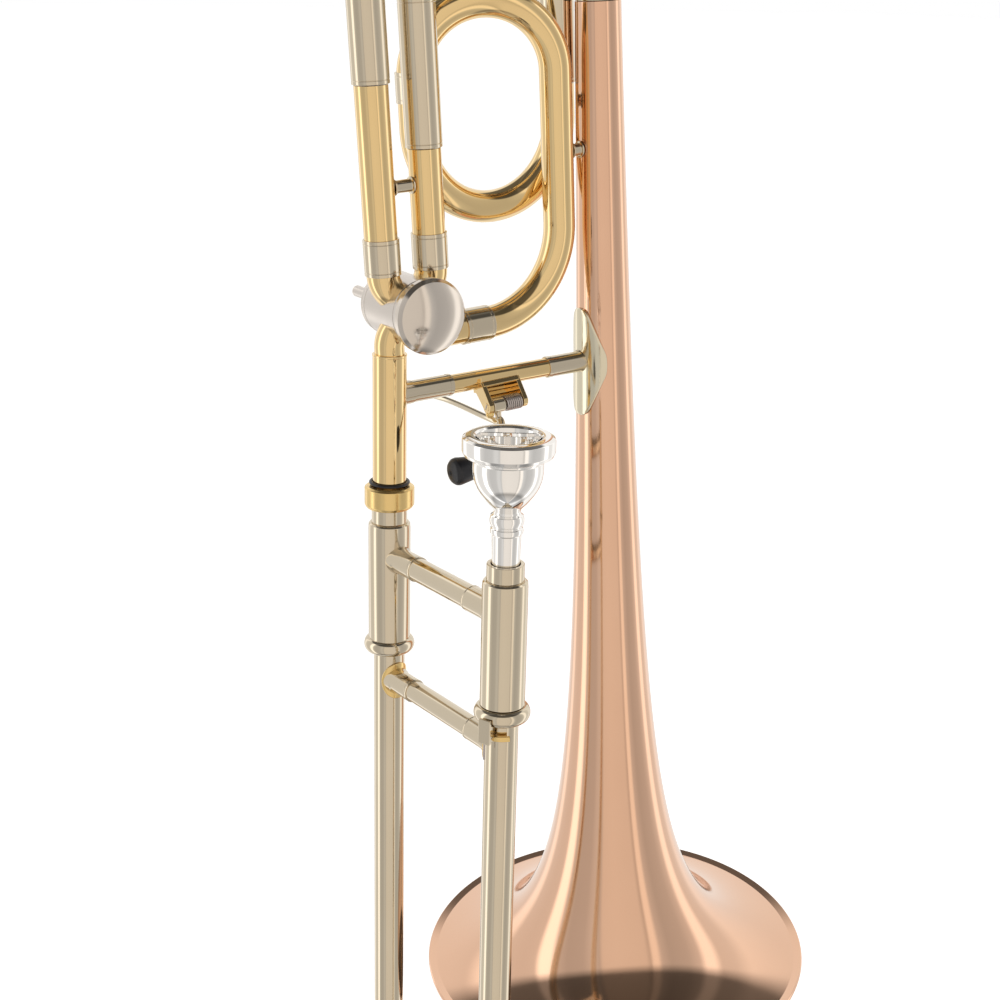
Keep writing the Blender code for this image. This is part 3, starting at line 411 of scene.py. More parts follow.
METALS = {
    # colour, other tone, roughness, brushed bump, lacquer
    "nickel_silver": ((0.695, 0.615, 0.48), (0.655, 0.57, 0.435), 0.075, 0.008, 0.25),
    "pale_nickel": ((0.76, 0.70, 0.55), (0.72, 0.66, 0.50), 0.09, 0.008, 0.2),
    "yellow_brass": ((0.87, 0.655, 0.34), (0.82, 0.60, 0.29), 0.06, 0.006, 0.5),
    "gold_brass": ((0.83, 0.532, 0.37), (0.785, 0.49, 0.335), 0.085, 0.005, 0.5),
    "gold_plate": ((0.87, 0.645, 0.29), (0.81, 0.57, 0.23), 0.20, 0.035, 0.2),
    "silver_plate": ((0.95, 0.94, 0.925), (0.91, 0.90, 0.885), 0.05, 0.003, 0.1),
    "satin_nickel": ((0.70, 0.655, 0.61), (0.65, 0.60, 0.56), 0.22, 0.030, 0.0),
    "cap_nickel": ((0.70, 0.645, 0.585), (0.66, 0.60, 0.54), 0.13, 0.025, 0.0),
    "spring_steel": ((0.54, 0.495, 0.475), (0.44, 0.40, 0.385), 0.24, 0.015, 0.0),
}
SOFT_STUFF = {
    # colour, other tone, roughness, scale and depth of the grain
    "black_rubber": ((0.003, 0.003, 0.005), (0.007, 0.007, 0.010), 0.36, 900.0, 0.00003),
    "cork": ((0.52, 0.33, 0.18), (0.32, 0.19, 0.10), 0.85, 500.0, 0.0002),
}
POLISHED_ALONG = (1, 1, 0.03)      # stretch of the polishing lines along the tubes
made = {}


def feed(tree, sockets, values):
    """Link each named socket to an output, or set its value."""
    for key, value in values.items():
        if isinstance(value, bpy.types.NodeSocket):
            tree.links.new(value, sockets[key])
        else:
            sockets[key].default_value = value


def add(tree, kind, values=None, **attributes):
    """New node with its attributes, and its sockets linked or set."""
    node = tree.nodes.new(kind)
    for key, value in attributes.items():
        setattr(node, key, value)
    feed(tree, node.inputs, values or {})
    return node


def result(tree, kind, operation, *values):
    return add(tree, kind, dict(enumerate(values)), operation=operation).outputs["Value"]


def noise(tree, vector, scale, detail, roughness=0.5):
    values = {"Vector": vector, "Scale": scale, "Detail": detail, "Roughness": roughness}
    return add(tree, "ShaderNodeTexNoise", values).outputs["Fac"]


def mixed(tree, factor, first, second, blend_type="MIX"):
    """Blend of two colours, each a value or an output."""
    values = {"Factor": factor, "A": first, "B": second}
    return add(tree, "ShaderNodeMix", values, data_type="RGBA", blend_type=blend_type).outputs["Result"]


def surface(name):
    """A new material, its node tree, its shader's sockets and the object's own coordinates."""
    stuff = bpy.data.materials.new(name)
    stuff.use_nodes = True
    tree = stuff.node_tree
    place = add(tree, "ShaderNodeTexCoord").outputs["Object"]
    return stuff, tree, tree.nodes["Principled BSDF"].inputs, place


def metal(name, colour, tone, rough, brushed, lacquer, centre=None):
    """Metal with drifting tone, polishing lines along it or turned round a centre, and faint marks."""
    stuff, tree, shader, place = surface(name)
    if centre is None:
        lines = add(tree, "ShaderNodeMapping", {"Vector": place, "Scale": POLISHED_ALONG})
        brush = noise(tree, lines.outputs["Vector"], 1500.0, 4.0, 0.6)
    else:
        lines = add(tree, "ShaderNodeMapping", {"Vector": place, "Location": centre})
        away = result(tree, "ShaderNodeVectorMath", "LENGTH", lines.outputs["Vector"])
        values = {"W": away, "Scale": 2500.0, "Detail": 3.0}
        brush = add(tree, "ShaderNodeTexNoise", values, noise_dimensions="1D").outputs["Fac"]
    wear = add(tree, "ShaderNodeMapRange", {
        "Value": noise(tree, place, 60.0, 5.0, 0.6), "From Min": 0.3, "From Max": 0.75,
        "To Min": rough * 0.85, "To Max": rough * 1.25})
    bump = add(tree, "ShaderNodeBump", {"Height": brush, "Strength": brushed * 6, "Distance": 0.0001})
    feed(tree, shader, {
        "Base Color": mixed(tree, noise(tree, place, 22.0, 3.0), (*colour, 1.0), (*tone, 1.0)),
        "Roughness": wear.outputs["Result"], "Normal": bump.outputs["Normal"], "Metallic": 1.0,
        "Coat Weight": lacquer, "Coat Roughness": 0.05, "Coat IOR": 1.45})
    return stuff


def soft_matter(name, colour, tone, rough, scale, depth):
    """Rubber or cork: mottled colour and a grained surface."""
    stuff, tree, shader, place = surface(name)
    grain = noise(tree, place, scale, 6.0, 0.65)
    bump = add(tree, "ShaderNodeBump", {"Height": grain, "Strength": 0.35, "Distance": depth})
    feed(tree, shader, {
        "Base Color": mixed(tree, grain, (*colour, 1.0), (*tone, 1.0)),
        "Roughness": rough, "Normal": bump.outputs["Normal"]})
    return stuff


def material(name):
    """The material of a finish, made once."""
    if name not in made:
        if name in SOFT_STUFF:
            made[name] = soft_matter(name, *SOFT_STUFF[name])
        elif name == "cap_nickel":
            middle = BELL @ np.array((VALVE_X, 0, VALVE_Z, 1.0))
            made[name] = metal(name, *METALS[name], centre=tuple(-middle[:3] * MM))
        else:
            made[name] = metal(name, *METALS[name])
    return made[name]


# ---------------------------------------------------------------- slide section

def column(side):
    return SPACING if side == "right" else 0.0


def bead_outline(bulge, steps=16):
    return [(bulge - BEAD_SWELL + BEAD_SWELL * math.sin(a), BEAD_Z + BEAD_HALF * math.cos(a))
            for a in (math.pi * step / steps for step in range(steps + 1))]


def build_inner_slide():
    for side in ("left", "right"):
        top, step = BARREL_TOP - 2.6, INNER_END + 130
        Piece(f"inner_slide_tube_{side}", SLIDE, name=f"inner_tube_{side}").lathe([
            (INNER_R, top), (INNER_R, step), (STOCKING_R, step - 4), (STOCKING_R, INNER_END),
            (INNER_BORE, INNER_END), (INNER_BORE, top)], (column(side), 0, 0)).done("slide_section")
    build_barrels()
    build_slide_brace("hand_brace", 0.0, 5.7, 6.15, BARREL_R, 15.0, "slide_section")


def build_barrels():
    roof, seam = BARREL_TOP - 2.2, BARREL_TOP + 0.35
    foot = BEAD_Z - BEAD_HALF
    dome = [(9.3, BARREL_TOP - 0.05, 0.25), (BARREL_R - 0.15, BARREL_TOP - 0.9, 0.7),
            (BARREL_R, BARREL_TOP - 3.0, 0.8)]
    tenon = [(6.2, TENON_TOP), (8.2, TENON_TOP), (TENON_R, TENON_TOP - 0.6), (TENON_R, seam, 0.05),
             (8.35, BARREL_TOP - 0.25, 0.1)]
    bead = [(BARREL_R, BEAD_Z + BEAD_HALF + 0.2, 0.1)] + bead_outline(12.45)[1:-1]
    inside = [(9.2, foot, 0.4), (8.1, foot, 0.2), (8.1, BARREL_END - 4.0), (BARREL_BORE, BARREL_END),
              (BARREL_BORE, roof), (6.2, roof)]
    left = Piece("cork_barrel_left", SLIDE, name="barrel_left")
    left.lathe(tenon + dome + bead + inside, soft=0.08).done("slide_section")
    receiver = [(6.6, 24.8, 0.4), (8.45, 24.8, 0.35), (8.45, seam, 0.05), (8.2, BARREL_TOP - 0.25, 0.1)]
    inside = [(BARREL_R, BARREL_END, 0.3), (BARREL_BORE, BARREL_END), (BARREL_BORE, roof), (6.6, roof)]
    right = Piece("cork_barrel_right", SLIDE, name="barrel_right")
    right.lathe(receiver + dome + inside, (SPACING, 0, 0)).done("slide_section")


def build_slide_brace(node, height, tube_r, ferrule_r, column_r, length, body):
    """Brace tube with a lipped ferrule at each end, trimmed to the columns."""
    piece = Piece(node, SLIDE)
    end = column_r + length
    profile = [(column_r - 1.0, ferrule_r + 0.9), (column_r + 0.35, ferrule_r + 0.55),
               (column_r + 1.3, ferrule_r), (end - 1.6, ferrule_r), (end - 1.45, ferrule_r - 0.18),
               (end - 1.15, ferrule_r - 0.18), (end - 1.0, ferrule_r + 0.05),
               (end - 0.25, ferrule_r + 0.05), (end, ferrule_r - 0.2)]
    for x, inward, trim in ((0.0, 1, "starts_on"), (SPACING, -1, "ends_on")):
        path = [(x + inward * p, 0, height) for p, _ in profile[::inward]]
        piece.sweep(path, [r for _, r in profile[::inward]], wall=1.2, facets=72, soft=0.1,
                    **{trim: ((x, 0, 0), (0, 0, 1), column_r - 0.05)})
    left, right = end, SPACING - end
    piece.sweep([(x, 0, height) for x in (left - 3, left, right, right + 3)], tube_r, facets=72)
    piece.done(body)


def build_lock_ring():
    foot, top = BEAD_Z - BEAD_HALF, BEAD_Z + BEAD_HALF
    outline = bead_outline(12.85)[:-1] + [(10.05, foot, 0.3), (8.1, foot, 0.2), (8.1, top, 0.2)]
    piece = Piece("slide_lock_ring", SLIDE, name="lock_ring")
    piece.lathe(outline, (SPACING, 0, 0), soft=0.1).done("slide_lock_ring")


def build_oval_saddle(side, inward):
    """Oval plate wrapped round a slide tube, crowned towards its rim."""
    half_angle, half_height, inner, outer = 1.05, 9.4, OUTER_R + 0.05, 8.55
    x, base = column(side), 0.0 if inward > 0 else math.pi
    theta = np.linspace(0, 2 * math.pi, FACETS, endpoint=False)

    def ring(share, radius):
        angle = base + inward * share * half_angle * np.cos(theta)
        z = SLIDE_BRACE_Z + share * half_height * np.sin(theta)
        return np.stack([x + radius * np.cos(angle), radius * np.sin(angle), z], axis=1)

    outside = [(0.02, outer), (0.3, outer), (0.6, outer), (0.85, outer), (0.95, outer - 0.03),
               (0.985, outer - 0.12), (1.0, outer - 0.3)]
    inside = [(1.0, inner), (0.6, inner), (0.3, inner), (0.02, inner)]
    piece = Piece(f"slide_brace_flange_{side}", SLIDE, "gold_plate", f"brace_saddle_{side}")
    piece.plate([ring(*level) for level in outside + inside], (inward, 0, 0)).done("outer_slide")


def build_outer_slide():
    outline = [(OUTER_R, OUTER_TOP), (OUTER_R, OUTER_END + 17), (8.2, OUTER_END + 17),
               (SLEEVE_R, OUTER_END + 16.4)]
    for height in (OUTER_END + 14.8, BOW_Z + 2.2):
        outline += groove(SLEEVE_R, height, 0.15, 0.4, 0.2)
    outline += [(SLEEVE_R, BOW_Z), (OUTER_R + 0.1, BOW_Z), (OUTER_R + 0.1, OUTER_END),
                (OUTER_BORE, OUTER_END), (OUTER_BORE, OUTER_TOP)]
    for side, inward in (("left", 1), ("right", -1)):
        tube = Piece(f"outer_slide_tube_{side}", SLIDE, name=f"outer_tube_{side}")
        tube.lathe(outline, (column(side), 0, 0)).done("outer_slide")
        build_oval_saddle(side, inward)
    build_slide_brace("slide_brace", SLIDE_BRACE_Z, 5.25, 5.85, SLEEVE_R, 14.3, "outer_slide")
    build_lock_hook()
    build_bow()


def build_lock_hook():
    """Upright tab in front of the lock ring, its foot and clip on the outer tube, and a thin pin."""
    piece = Piece("lock_hook", SLIDE)
    angle = math.radians(HOOK_ANGLE)
    outward = np.array((math.cos(angle), math.sin(angle), 0.0))
    along = np.array((-math.sin(angle), math.cos(angle), 0.0))
    middle = np.array((SPACING, 0.0, 0.0))
    front = middle + outward * HOOK_REACH
    piece.slab(rectangle(3.05, 5.9), 1.6, front + (0, 0, -50.9), outward, along, 0.35, 0.7)
    piece.slab(rectangle(2.4, 1.05), 5.2, middle + outward * 11.0 + (0, 0, -55.6), outward, along, 0.3, 0.4)
    piece.band([(10.4, -54.4), (10.4, -56.8), (8.95, -56.8), (8.95, -54.4)], middle, (0, 0, 1), outward,
               -45.0, 54.0, "gold_plate")
    piece.rod(0.5, -64.6, -56.0, front, facets=24, finish="spring_steel")
    piece.done("outer_slide")


def drain_seat():
    outward = direction(205)
    return np.array((HALF, 0, BOW_Z)) + outward * (HALF + OUTER_R), outward


def build_bow():
    path = np.vstack([[(0, 0, OUTER_END - 0.3)], arc((HALF, 0, BOW_Z), HALF, 180, 360, 72),
                      [(SPACING, 0, OUTER_END - 0.3)]])
    seat, outward = drain_seat()
    piece = Piece("slide_bow", SLIDE).tube(path, OUTER_R)
    piece.sleeve(3.4, 1.6, -0.5, 3.4, seat, outward, 0.3, 48)
    piece.lathe([(3.35, 0.5), (4.6, -0.4), (3.35, -0.6)], seat, outward, 48, 0.2)
    piece.done("outer_slide")
    bottom = BOW_Z - HALF - OUTER_R
    guard = Piece("bow_guard", SLIDE)
    guard.lathe([(0, bottom - 0.9), (5.6, bottom - 0.9, 0.5), (6.5, bottom - 2.0, 0.4),
                 (6.5, bottom - 6.0, 0.5), (0, bottom - 6.0)], (HALF, 0, 0), soft=0.4)
    guard.sweep(arc((HALF, 0, BOW_Z), HALF + OUTER_R + 1.2, 236, 304, 48), 0.85, facets=32)
    guard.done("outer_slide")
    tip = Piece("bumper_tip", SLIDE, "black_rubber")
    tip.lathe([(0, bottom - 6.3), (5.5, bottom - 6.3, 0.4), (5.6, bottom - 9.0), (5.2, bottom - 12.0, 1.4),
               (0, bottom - 12.0)], (HALF, 0, 0), soft=0.5)
    tip.done("outer_slide")


def build_water_key():
    seat, outward = drain_seat()
    tip = seat + outward * 3.4
    pivot = np.array(KEY_PIVOT)
    key = Piece("water_key_lever", SLIDE, name="water_key_fine")
    key.lathe([(0, 4.2), (3.0, 4.2, 0.8), (4.4, 3.6, 0.6), (4.4, 2.0, 0.2), (3.5, 2.0, 0.1), (3.5, 2.5),
               (0, 2.5)], tip, outward, 64, 0.3)
    key.lathe([(0, 2.6), (3.35, 2.6), (3.4, 0.35, 0.3), (0, 0.35)], tip, outward, 48, 0.2, "cork")
    spine = smooth([tip + outward * 3.2, (-14.6, 0, -726), pivot + (-1.2, 0, 0), (-16.2, 0, -700),
                    (-17.0, 0, -684), (-17.3, 0, -676)], 40)
    key.sweep(spine, np.interp(np.linspace(0, 1, 40), (0, 0.4, 1), (1.45, 1.35, 1.0)), facets=40, squash=1.5)
    oval = [(4.4 * math.cos(a), 5.9 * math.sin(a)) for a in np.linspace(0, 2 * math.pi, 48, endpoint=False)]
    key.slab(oval, 1.7, (-17.25, 0, -680.0), (-1, 0, 0), (0, 1, 0), 0.5)
    key.sleeve(2.6, 1.15, -2.7, 2.7, pivot, (0, 1, 0), 0.3, 48)
    key.done("water_key")
    build_water_key_hinge(pivot)


def build_water_key_hinge(pivot):
    screw = Piece("water_key_screw", SLIDE, "spring_steel")
    screw.rod(1.0, -5.5, 5.0, pivot, (0, 1, 0), 0.15, 32)
    for low_end in (-4.9, 2.9):
        coil = [pivot + np.array((1.9 * math.cos(a), low_end + 0.34 * a, 1.9 * math.sin(a)))
                for a in np.linspace(0, 2 * math.pi * 0.94, 24)]
        screw.sweep(coil, 0.24, facets=12, soft=0.05)
    screw.done("outer_slide")
    saddle = Piece("water_key_saddle", SLIDE)
    saddle.slab(rectangle(4.8, 4.5), 1.7, (-9.72, 0, pivot[2]), (1, 0, 0), (0, 1, 0), 0.3, 1.0)
    ear = [(3.6, -3.1), (3.6, 3.1), (-1.4, 3.1), (-3.6, 1.6), (-3.6, -1.6), (-1.4, -3.1)]
    for side in (-3.95, 3.95):
        saddle.slab(ear, 1.7, (-12.4, side, pivot[2]), (0, 1, 0), (1, 0, 0), 0.3, 1.2)
    saddle.done("outer_slide")


def build_mouthpiece():
    rim = [(16.9, 83.0, 0.8), (18.6, 82.7, 1.0), (20.0, 81.8, 0.7), (20.2, 80.9, 0.5), (20.2, 76.0, 0.9),
           (19.3, 74.2, 0.8), (17.5, 73.5, 0.4), (16.1, 73.0, 0.3), (15.8, 72.1, 0.25), (15.25, 71.6, 0.2)]
    cup = [(15.35, 69.6), (15.4, 68.2), (15.3, 66.4), (15.0, 64.1), (14.5, 62.2), (13.8, 60.3), (12.85, 58.4),
           (11.75, 56.7), (10.65, 55.2), (9.6, 53.8), (8.4, 52.4), (7.2, 51.2), (6.3, 50.2)]
    beads = [(5.85, 49.1, 0.4), (6.1, 48.1, 0.4), (7.25, 47.2, 0.7), (7.6, 45.6), (7.6, 44.4),
             (7.2, 42.9, 0.7), (6.55, 42.3, 0.3), (6.55, 41.8, 0.3), (7.2, 41.3, 0.5), (7.35, 40.2),
             (7.2, 39.0, 0.5), (6.5, 38.4, 0.3)]
    shank = [(6.15, 24.8), (5.75, 2.2, 0.3), (5.0, 2.2, 0.2)]
    bore = [(3.4, 44.0), (3.4, 50.0), (4.2, 52.2), (5.8, 54.4), (7.6, 56.5), (9.2, 58.6), (10.5, 60.9),
            (11.5, 63.4), (12.3, 66.4), (12.8, 70.0), (13.2, 74.0), (13.55, 78.0), (13.9, 80.6), (14.3, 82.0),
            (15.1, 82.9)]
    piece = Piece("mouthpiece", SLIDE, "silver_plate")
    piece.lathe(rim + cup + beads + shank + bore, (SPACING, 0, 0), facets=160, soft=0.3).done("mouthpiece")


# ---------------------------------------------------------------- neck and valve

def knuckle(offset, side, sideways, start):
    """Path of a tube that ends at the valve's casing, from an upright or level run at an offset."""
    bend, half_tangent = 12.0, 0.41421
    sign, reach = 1 if offset > 0 else -1, abs(offset)
    far = reach + half_tangent * bend
    local = [(reach, start)]
    local += [(reach - bend + bend * math.cos(a), far - bend * math.sin(a))
              for a in np.radians(np.linspace(0, 45, 14))]
    last = local[-1]
    local += [(last[0] - depth, last[1] - depth) for depth in (1.5, 3.5)]
    if sideways:
        return [at(VALVE_X + along, 0, VALVE_Z + sign * over) for over, along in local]
    return [at(VALVE_X + sign * over, 0, VALVE_Z + side * along) for over, along in local]


def build_neck():
    nut = Piece("lock_nut", SLIDE, "gold_plate")
    nut.lathe([(8.9, NUT_TOP, 0.2), (10.7, NUT_TOP, 0.5), (11.15, NUT_TOP - 0.5, 0.2),
               (12.0, NUT_TOP - 0.8, 0.6), (12.0, NUT_BOTTOM + 1.6, 1.3), (11.1, NUT_BOTTOM, 0.9),
               (8.9, NUT_BOTTOM, 0.3)], facets=160, soft=0.3)
    nut.done("lock_nut")
    loop = curl(9.0, NUT_TOP + 1.5, 0.8, 0, -345, 24)
    Piece("rubber_ring", SLIDE, "black_rubber").lathe(loop).done()
    sleeve = Piece("gooseneck", SLIDE, "yellow_brass", "gooseneck_sleeve")
    foot = TENON_TOP + 0.4
    sleeve.lathe([(8.1, 99.9, 0.12), (8.25, 99.7, 0.12), (8.25, 98.9, 0.12), (8.1, 98.7, 0.1),
                  (8.1, foot, 0.2), (6.8, foot), (6.8, PIVOT_Z - 0.1)], soft=0.1).done()
    bend = knuckle(-VALVE_X, -1, False, VALVE_Z + 8.0)
    Piece(None, BELL, "yellow_brass", "gooseneck_bend").tube(bend, 7.15, ends_on=CASING).done()


def build_valve():
    centre = at(VALVE_X, 0, VALVE_Z)
    casing = Piece("valve_casing", BELL, "satin_nickel")
    casing.lathe([(13.6, 15.6), (CASING_R, 15.6, 0.2)] + groove(CASING_R, 12.1, 0.25, 0.5, 0.2)
                 + groove(CASING_R, -16.0, 0.2, 0.4, 0.2) + [(CASING_R, -17.6, 0.5), (13.6, -17.6)],
                 centre, TOWARD, 128).done()
    curve, crown = 33.0, 26.6
    dome = [(r, crown - curve + math.sqrt(curve ** 2 - r ** 2)) for r in np.linspace(0.0, 16.2, 24)]
    rim = [(17.0, 21.3, 0.9), (17.7, 20.5, 0.5), (17.6, 17.4, 0.6), (16.6, 16.6, 0.3), (16.6, 15.9, 0.2),
           (4.0, 15.9, 0.2), (4.0, 18.0, 0.2), (0, 18.0)]
    cap = Piece("valve_cap", BELL, "cap_nickel")
    cap.lathe(dome + rim, centre, TOWARD, 160, 0.3).done(slot="satin_nickel")
    back = Piece("rear_bearing_plate", BELL, "satin_nickel", "rear_plate_fine")
    back.sleeve(15.2, 3.15, -20.4, -17.9, centre, TOWARD, 0.5, 128)
    for bumper in (-86.0, 86.0):
        back.rod(2.2, -24.6, -20.2, centre + direction(bumper) * 9.6, TOWARD, 0.4, 40, "black_rubber")
    back.lathe([(0, -20.2), (2.75, -20.2, 0.1), (2.75, -31.0), (2.35, -31.5, 0.4), (0, -31.5)],
               at(1.0, 0, 24.0), TOWARD, 48, 0.2)
    back.done()
    along = direction(STOP_ANGLE)
    arm = Piece("stop_arm", BELL)
    arm.sleeve(5.0, 3.1, -25.6, -21.0, centre, TOWARD, 0.4, 64)
    arm.slab([(4.0, -2.5), (STOP_REACH, -2.5), (STOP_REACH + 2.5, 0), (STOP_REACH, 2.5), (4.0, 2.5)], 3.2,
             centre + np.array((0, 22.8, 0)), TOWARD, along, 0.35, 2.0)
    arm.rod(2.5, -27.4, -21.4, centre + along * STOP_REACH, TOWARD, 0.3)
    arm.done("rotor")


# ---------------------------------------------------------------- tubing

def ferrule_outline(outer, inner, bottom, top):
    """Sleeve with a fine turned line near each end."""
    return ([(inner, top, 0.1), (outer, top, 0.2)] + groove(outer, top - 1.75) + groove(outer, bottom + 1.75)
            + [(outer, bottom, 0.2), (inner, bottom, 0.1)])


def build_upright(node, name, x, u, bottom, top, outer, inner):
    outline = ferrule_outline(outer, inner, bottom, top)
    Piece(node, BELL, name=name).lathe(outline, at(x, u, 0), soft=0.08).done()


def stay(piece, start, end, start_r, end_r):
    """Short rod between two tubes, with a small round foot on each."""
    radius, span = 3.0, np.linalg.norm(end - start)
    a, b = start_r, span - end_r
    foot = min(1.2, (b - a) / 3)
    outline = [(0, b), (radius + 1.1, b, 0.3), (radius + 1.0, b - foot * 0.6, 0.3), (radius, b - foot, 0.4),
               (radius, a + foot, 0.4), (radius + 1.0, a + foot * 0.6, 0.3), (radius + 1.1, a, 0.3), (0, a)]
    piece.lathe(outline, start, end - start, 56, 0.2, "nickel_silver")


def build_f_tubing():
    out_z, bend, crossing_x = VALVE_Z - 13.4, 42.5, (LEAD_X + REAR_LEFT_X) / 2
    bend_x = LEAD_X - bend
    outline = ferrule_outline(TUBE_R + 0.75, TUBE_R + 0.05, 39.0, 54.0)
    ferrule = Piece("f_lead_ferrule", BELL, name="lead_ferrule")
    ferrule.lathe(outline, at(0, 0, out_z), (1, 0, 0), soft=0.08).done()
    lead = np.array(knuckle(-13.4, 1, True, bend_x - VALVE_X - 1.0)[::-1])
    quarter = arc(at(bend_x, 0, out_z + bend), bend, 270, 360, 40)
    steps = 56
    rise = arc(at(crossing_x, 0, CROSSING_Z), (LEAD_X - REAR_LEFT_X) / 2, 0, 180, steps)
    rise[:, 1] = -REAR_U * (1 - np.cos(np.linspace(0, math.pi, steps + 1))) / 2
    path = np.vstack([lead, quarter, rise, [at(REAR_LEFT_X, REAR_U, CROSSING_Z - 3.0)]])
    tube = Piece("f_lead_tube", BELL, "yellow_brass", "lead_tube").tube(path, starts_on=CASING)
    stay(tube, at(LEAD_X, 0, 82), at(BELL_X, 0, 82), 7.5, 12.1)
    tube.done()
    build_lower_bow()
    build_upright("f_receiver_rear", "receiver_rear", REAR_RIGHT_X, REAR_U, 112.3, F_CROOK_Z - 8, 8.55,
                  RECEIVER_BORE)
    returning = knuckle(RETURN_X - VALVE_X, 1, False, 92.0 - VALVE_Z)
    Piece("f_return_tube", BELL, "yellow_brass", "return_tube").tube(returning, ends_on=CASING).done()
    build_upright("f_receiver_front", "receiver_front", RETURN_X, 0, 92.3, F_CROOK_Z - 8, 8.55, RECEIVER_BORE)
    build_upright("f_return_ferrule", "return_ferrule", RETURN_X, 0, 37.0, 53.5, TUBE_R + 0.75, TUBE_R + 0.05)


def build_lower_bow():
    middle_x, radius = (REAR_LEFT_X + REAR_RIGHT_X) / 2, (REAR_RIGHT_X - REAR_LEFT_X) / 2
    path = np.vstack([[at(REAR_LEFT_X, REAR_U, CROSSING_Z - 3.3)],
                      arc(at(middle_x, REAR_U, LOWER_BOW_Z), radius, 180, 360, 64),
                      [at(REAR_RIGHT_X, REAR_U, 112.0)]])
    bow = Piece("f_lower_bow", BELL, "yellow_brass", "lower_bow").tube(path)
    stay(bow, at(REAR_RIGHT_X, REAR_U, 104), at(LEAD_X, 0, 104), 7.5, 7.8)
    stay(bow, at(REAR_LEFT_X, REAR_U, 104), at(RETURN_X, 0, 104), 7.5, 8.6)
    bow.lathe(ferrule_outline(TUBE_R + 0.7, TUBE_R + 0.05, CROSSING_Z - 10.0, CROSSING_Z + 4.0),
              at(REAR_LEFT_X, REAR_U, 0), soft=0.08, finish="nickel_silver")
    bow.done()


def build_f_slide():
    middle_x, radius = (REAR_RIGHT_X + RETURN_X) / 2, (REAR_RIGHT_X - RETURN_X) / 2
    steps = 72
    path = arc(at(middle_x, 0, F_CROOK_Z), radius, 0, 180, steps)
    path[:, 1] = -REAR_U * (1 + np.cos(np.linspace(0, math.pi, steps + 1))) / 2
    path = np.vstack([[at(REAR_RIGHT_X, REAR_U, F_CROOK_Z - 6.0)], path, [at(RETURN_X, 0, F_CROOK_Z - 6.0)]])
    crook = Piece("f_slide_crook", BELL, "yellow_brass", "f_crook").tube(path)
    top = F_CROOK_Z + radius + TUBE_R
    crook.lathe([(0, top + 4.2), (3.4, top + 4.2, 0.9), (3.4, top + 2.2, 0.6), (2.2, top + 1.4, 0.5),
                 (2.6, top - 0.6, 0.2), (0, top - 0.6)], at(middle_x, REAR_U / 2, 0), facets=56, soft=0.2,
                finish="nickel_silver")
    crook.done("f_tuning_slide")
    for side, x, u in (("rear", REAR_RIGHT_X, REAR_U), ("front", RETURN_X, 0)):
        build_slide_leg("f", side, at(x, u, 0), 115.0, F_CROOK_Z - 7.6, F_CROOK_Z - 0.5, TUBE_R, 7.4)


def build_main_slide():
    half = (BELL_X - NECK_X) / 2
    path = np.vstack([[at(NECK_X, 0, MAIN_CROOK_Z - 7.7)],
                      arc(at(NECK_X + half, 0, MAIN_CROOK_Z), half, 180, 0, 96),
                      [at(BELL_X, 0, MAIN_CROOK_Z - 7.7)]])
    crook = Piece("main_slide_crook", BELL, "yellow_brass", "main_crook")
    crook.tube(path, np.linspace(TUBE_R, CROOK_END_R, len(path)))
    lift = 30
    reach = math.sqrt(half ** 2 - lift ** 2)
    crook.lathe([(0, reach - 8.6), (4.6, reach - 8.6, 0.4), (4.2, reach - 10.5, 0.6), (3.2, reach - 13, 0.5),
                 (3.2, 5.0, 0.2), (3.6, 4.6), (3.6, 3.6), (3.2, 3.2), (3.2, -3.2), (3.6, -3.6), (3.6, -4.6),
                 (3.2, -5.0, 0.2), (3.2, 12 - reach, 0.5), (4.2, 9.5 - reach, 0.6), (4.6, 7.3 - reach, 0.4),
                 (0, 7.3 - reach)], at(NECK_X + half, 0, MAIN_CROOK_Z + lift), (1, 0, 0), 56, 0.15,
                "nickel_silver")
    crook.done("main_tuning_slide")
    for end, x, crook_r, leg_r in (("neck", NECK_X, TUBE_R, 7.4), ("bell", BELL_X, CROOK_END_R, 9.85)):
        build_slide_leg("main", end, at(x, 0, 0), 152.0, 215.4, MAIN_CROOK_Z, crook_r, leg_r)


def build_slide_leg(slide, end, origin, bottom, step, top, crook_r, leg_r):
    """Inner leg of a tuning slide, with the ferrule that joins it to its crook."""
    outer, inner, edge = crook_r + 1.05, crook_r + 0.05, top - 0.3
    outline = [(inner, edge, 0.1), (outer, edge, 0.3)] + groove(outer, edge - 1.75)
    outline += [(outer, step + 0.1, 0.3), (leg_r, step + 0.1, 0.2), (leg_r, bottom, 0.15),
                (leg_r - 0.5, bottom, 0.15), (leg_r - 0.5, step + 1.2), (inner, step + 1.2)]
    piece = Piece(f"{slide}_slide_leg_{end}", BELL, name=f"{slide}_leg_{end}")
    piece.lathe(outline, origin, soft=0.08).done(f"{slide}_tuning_slide")


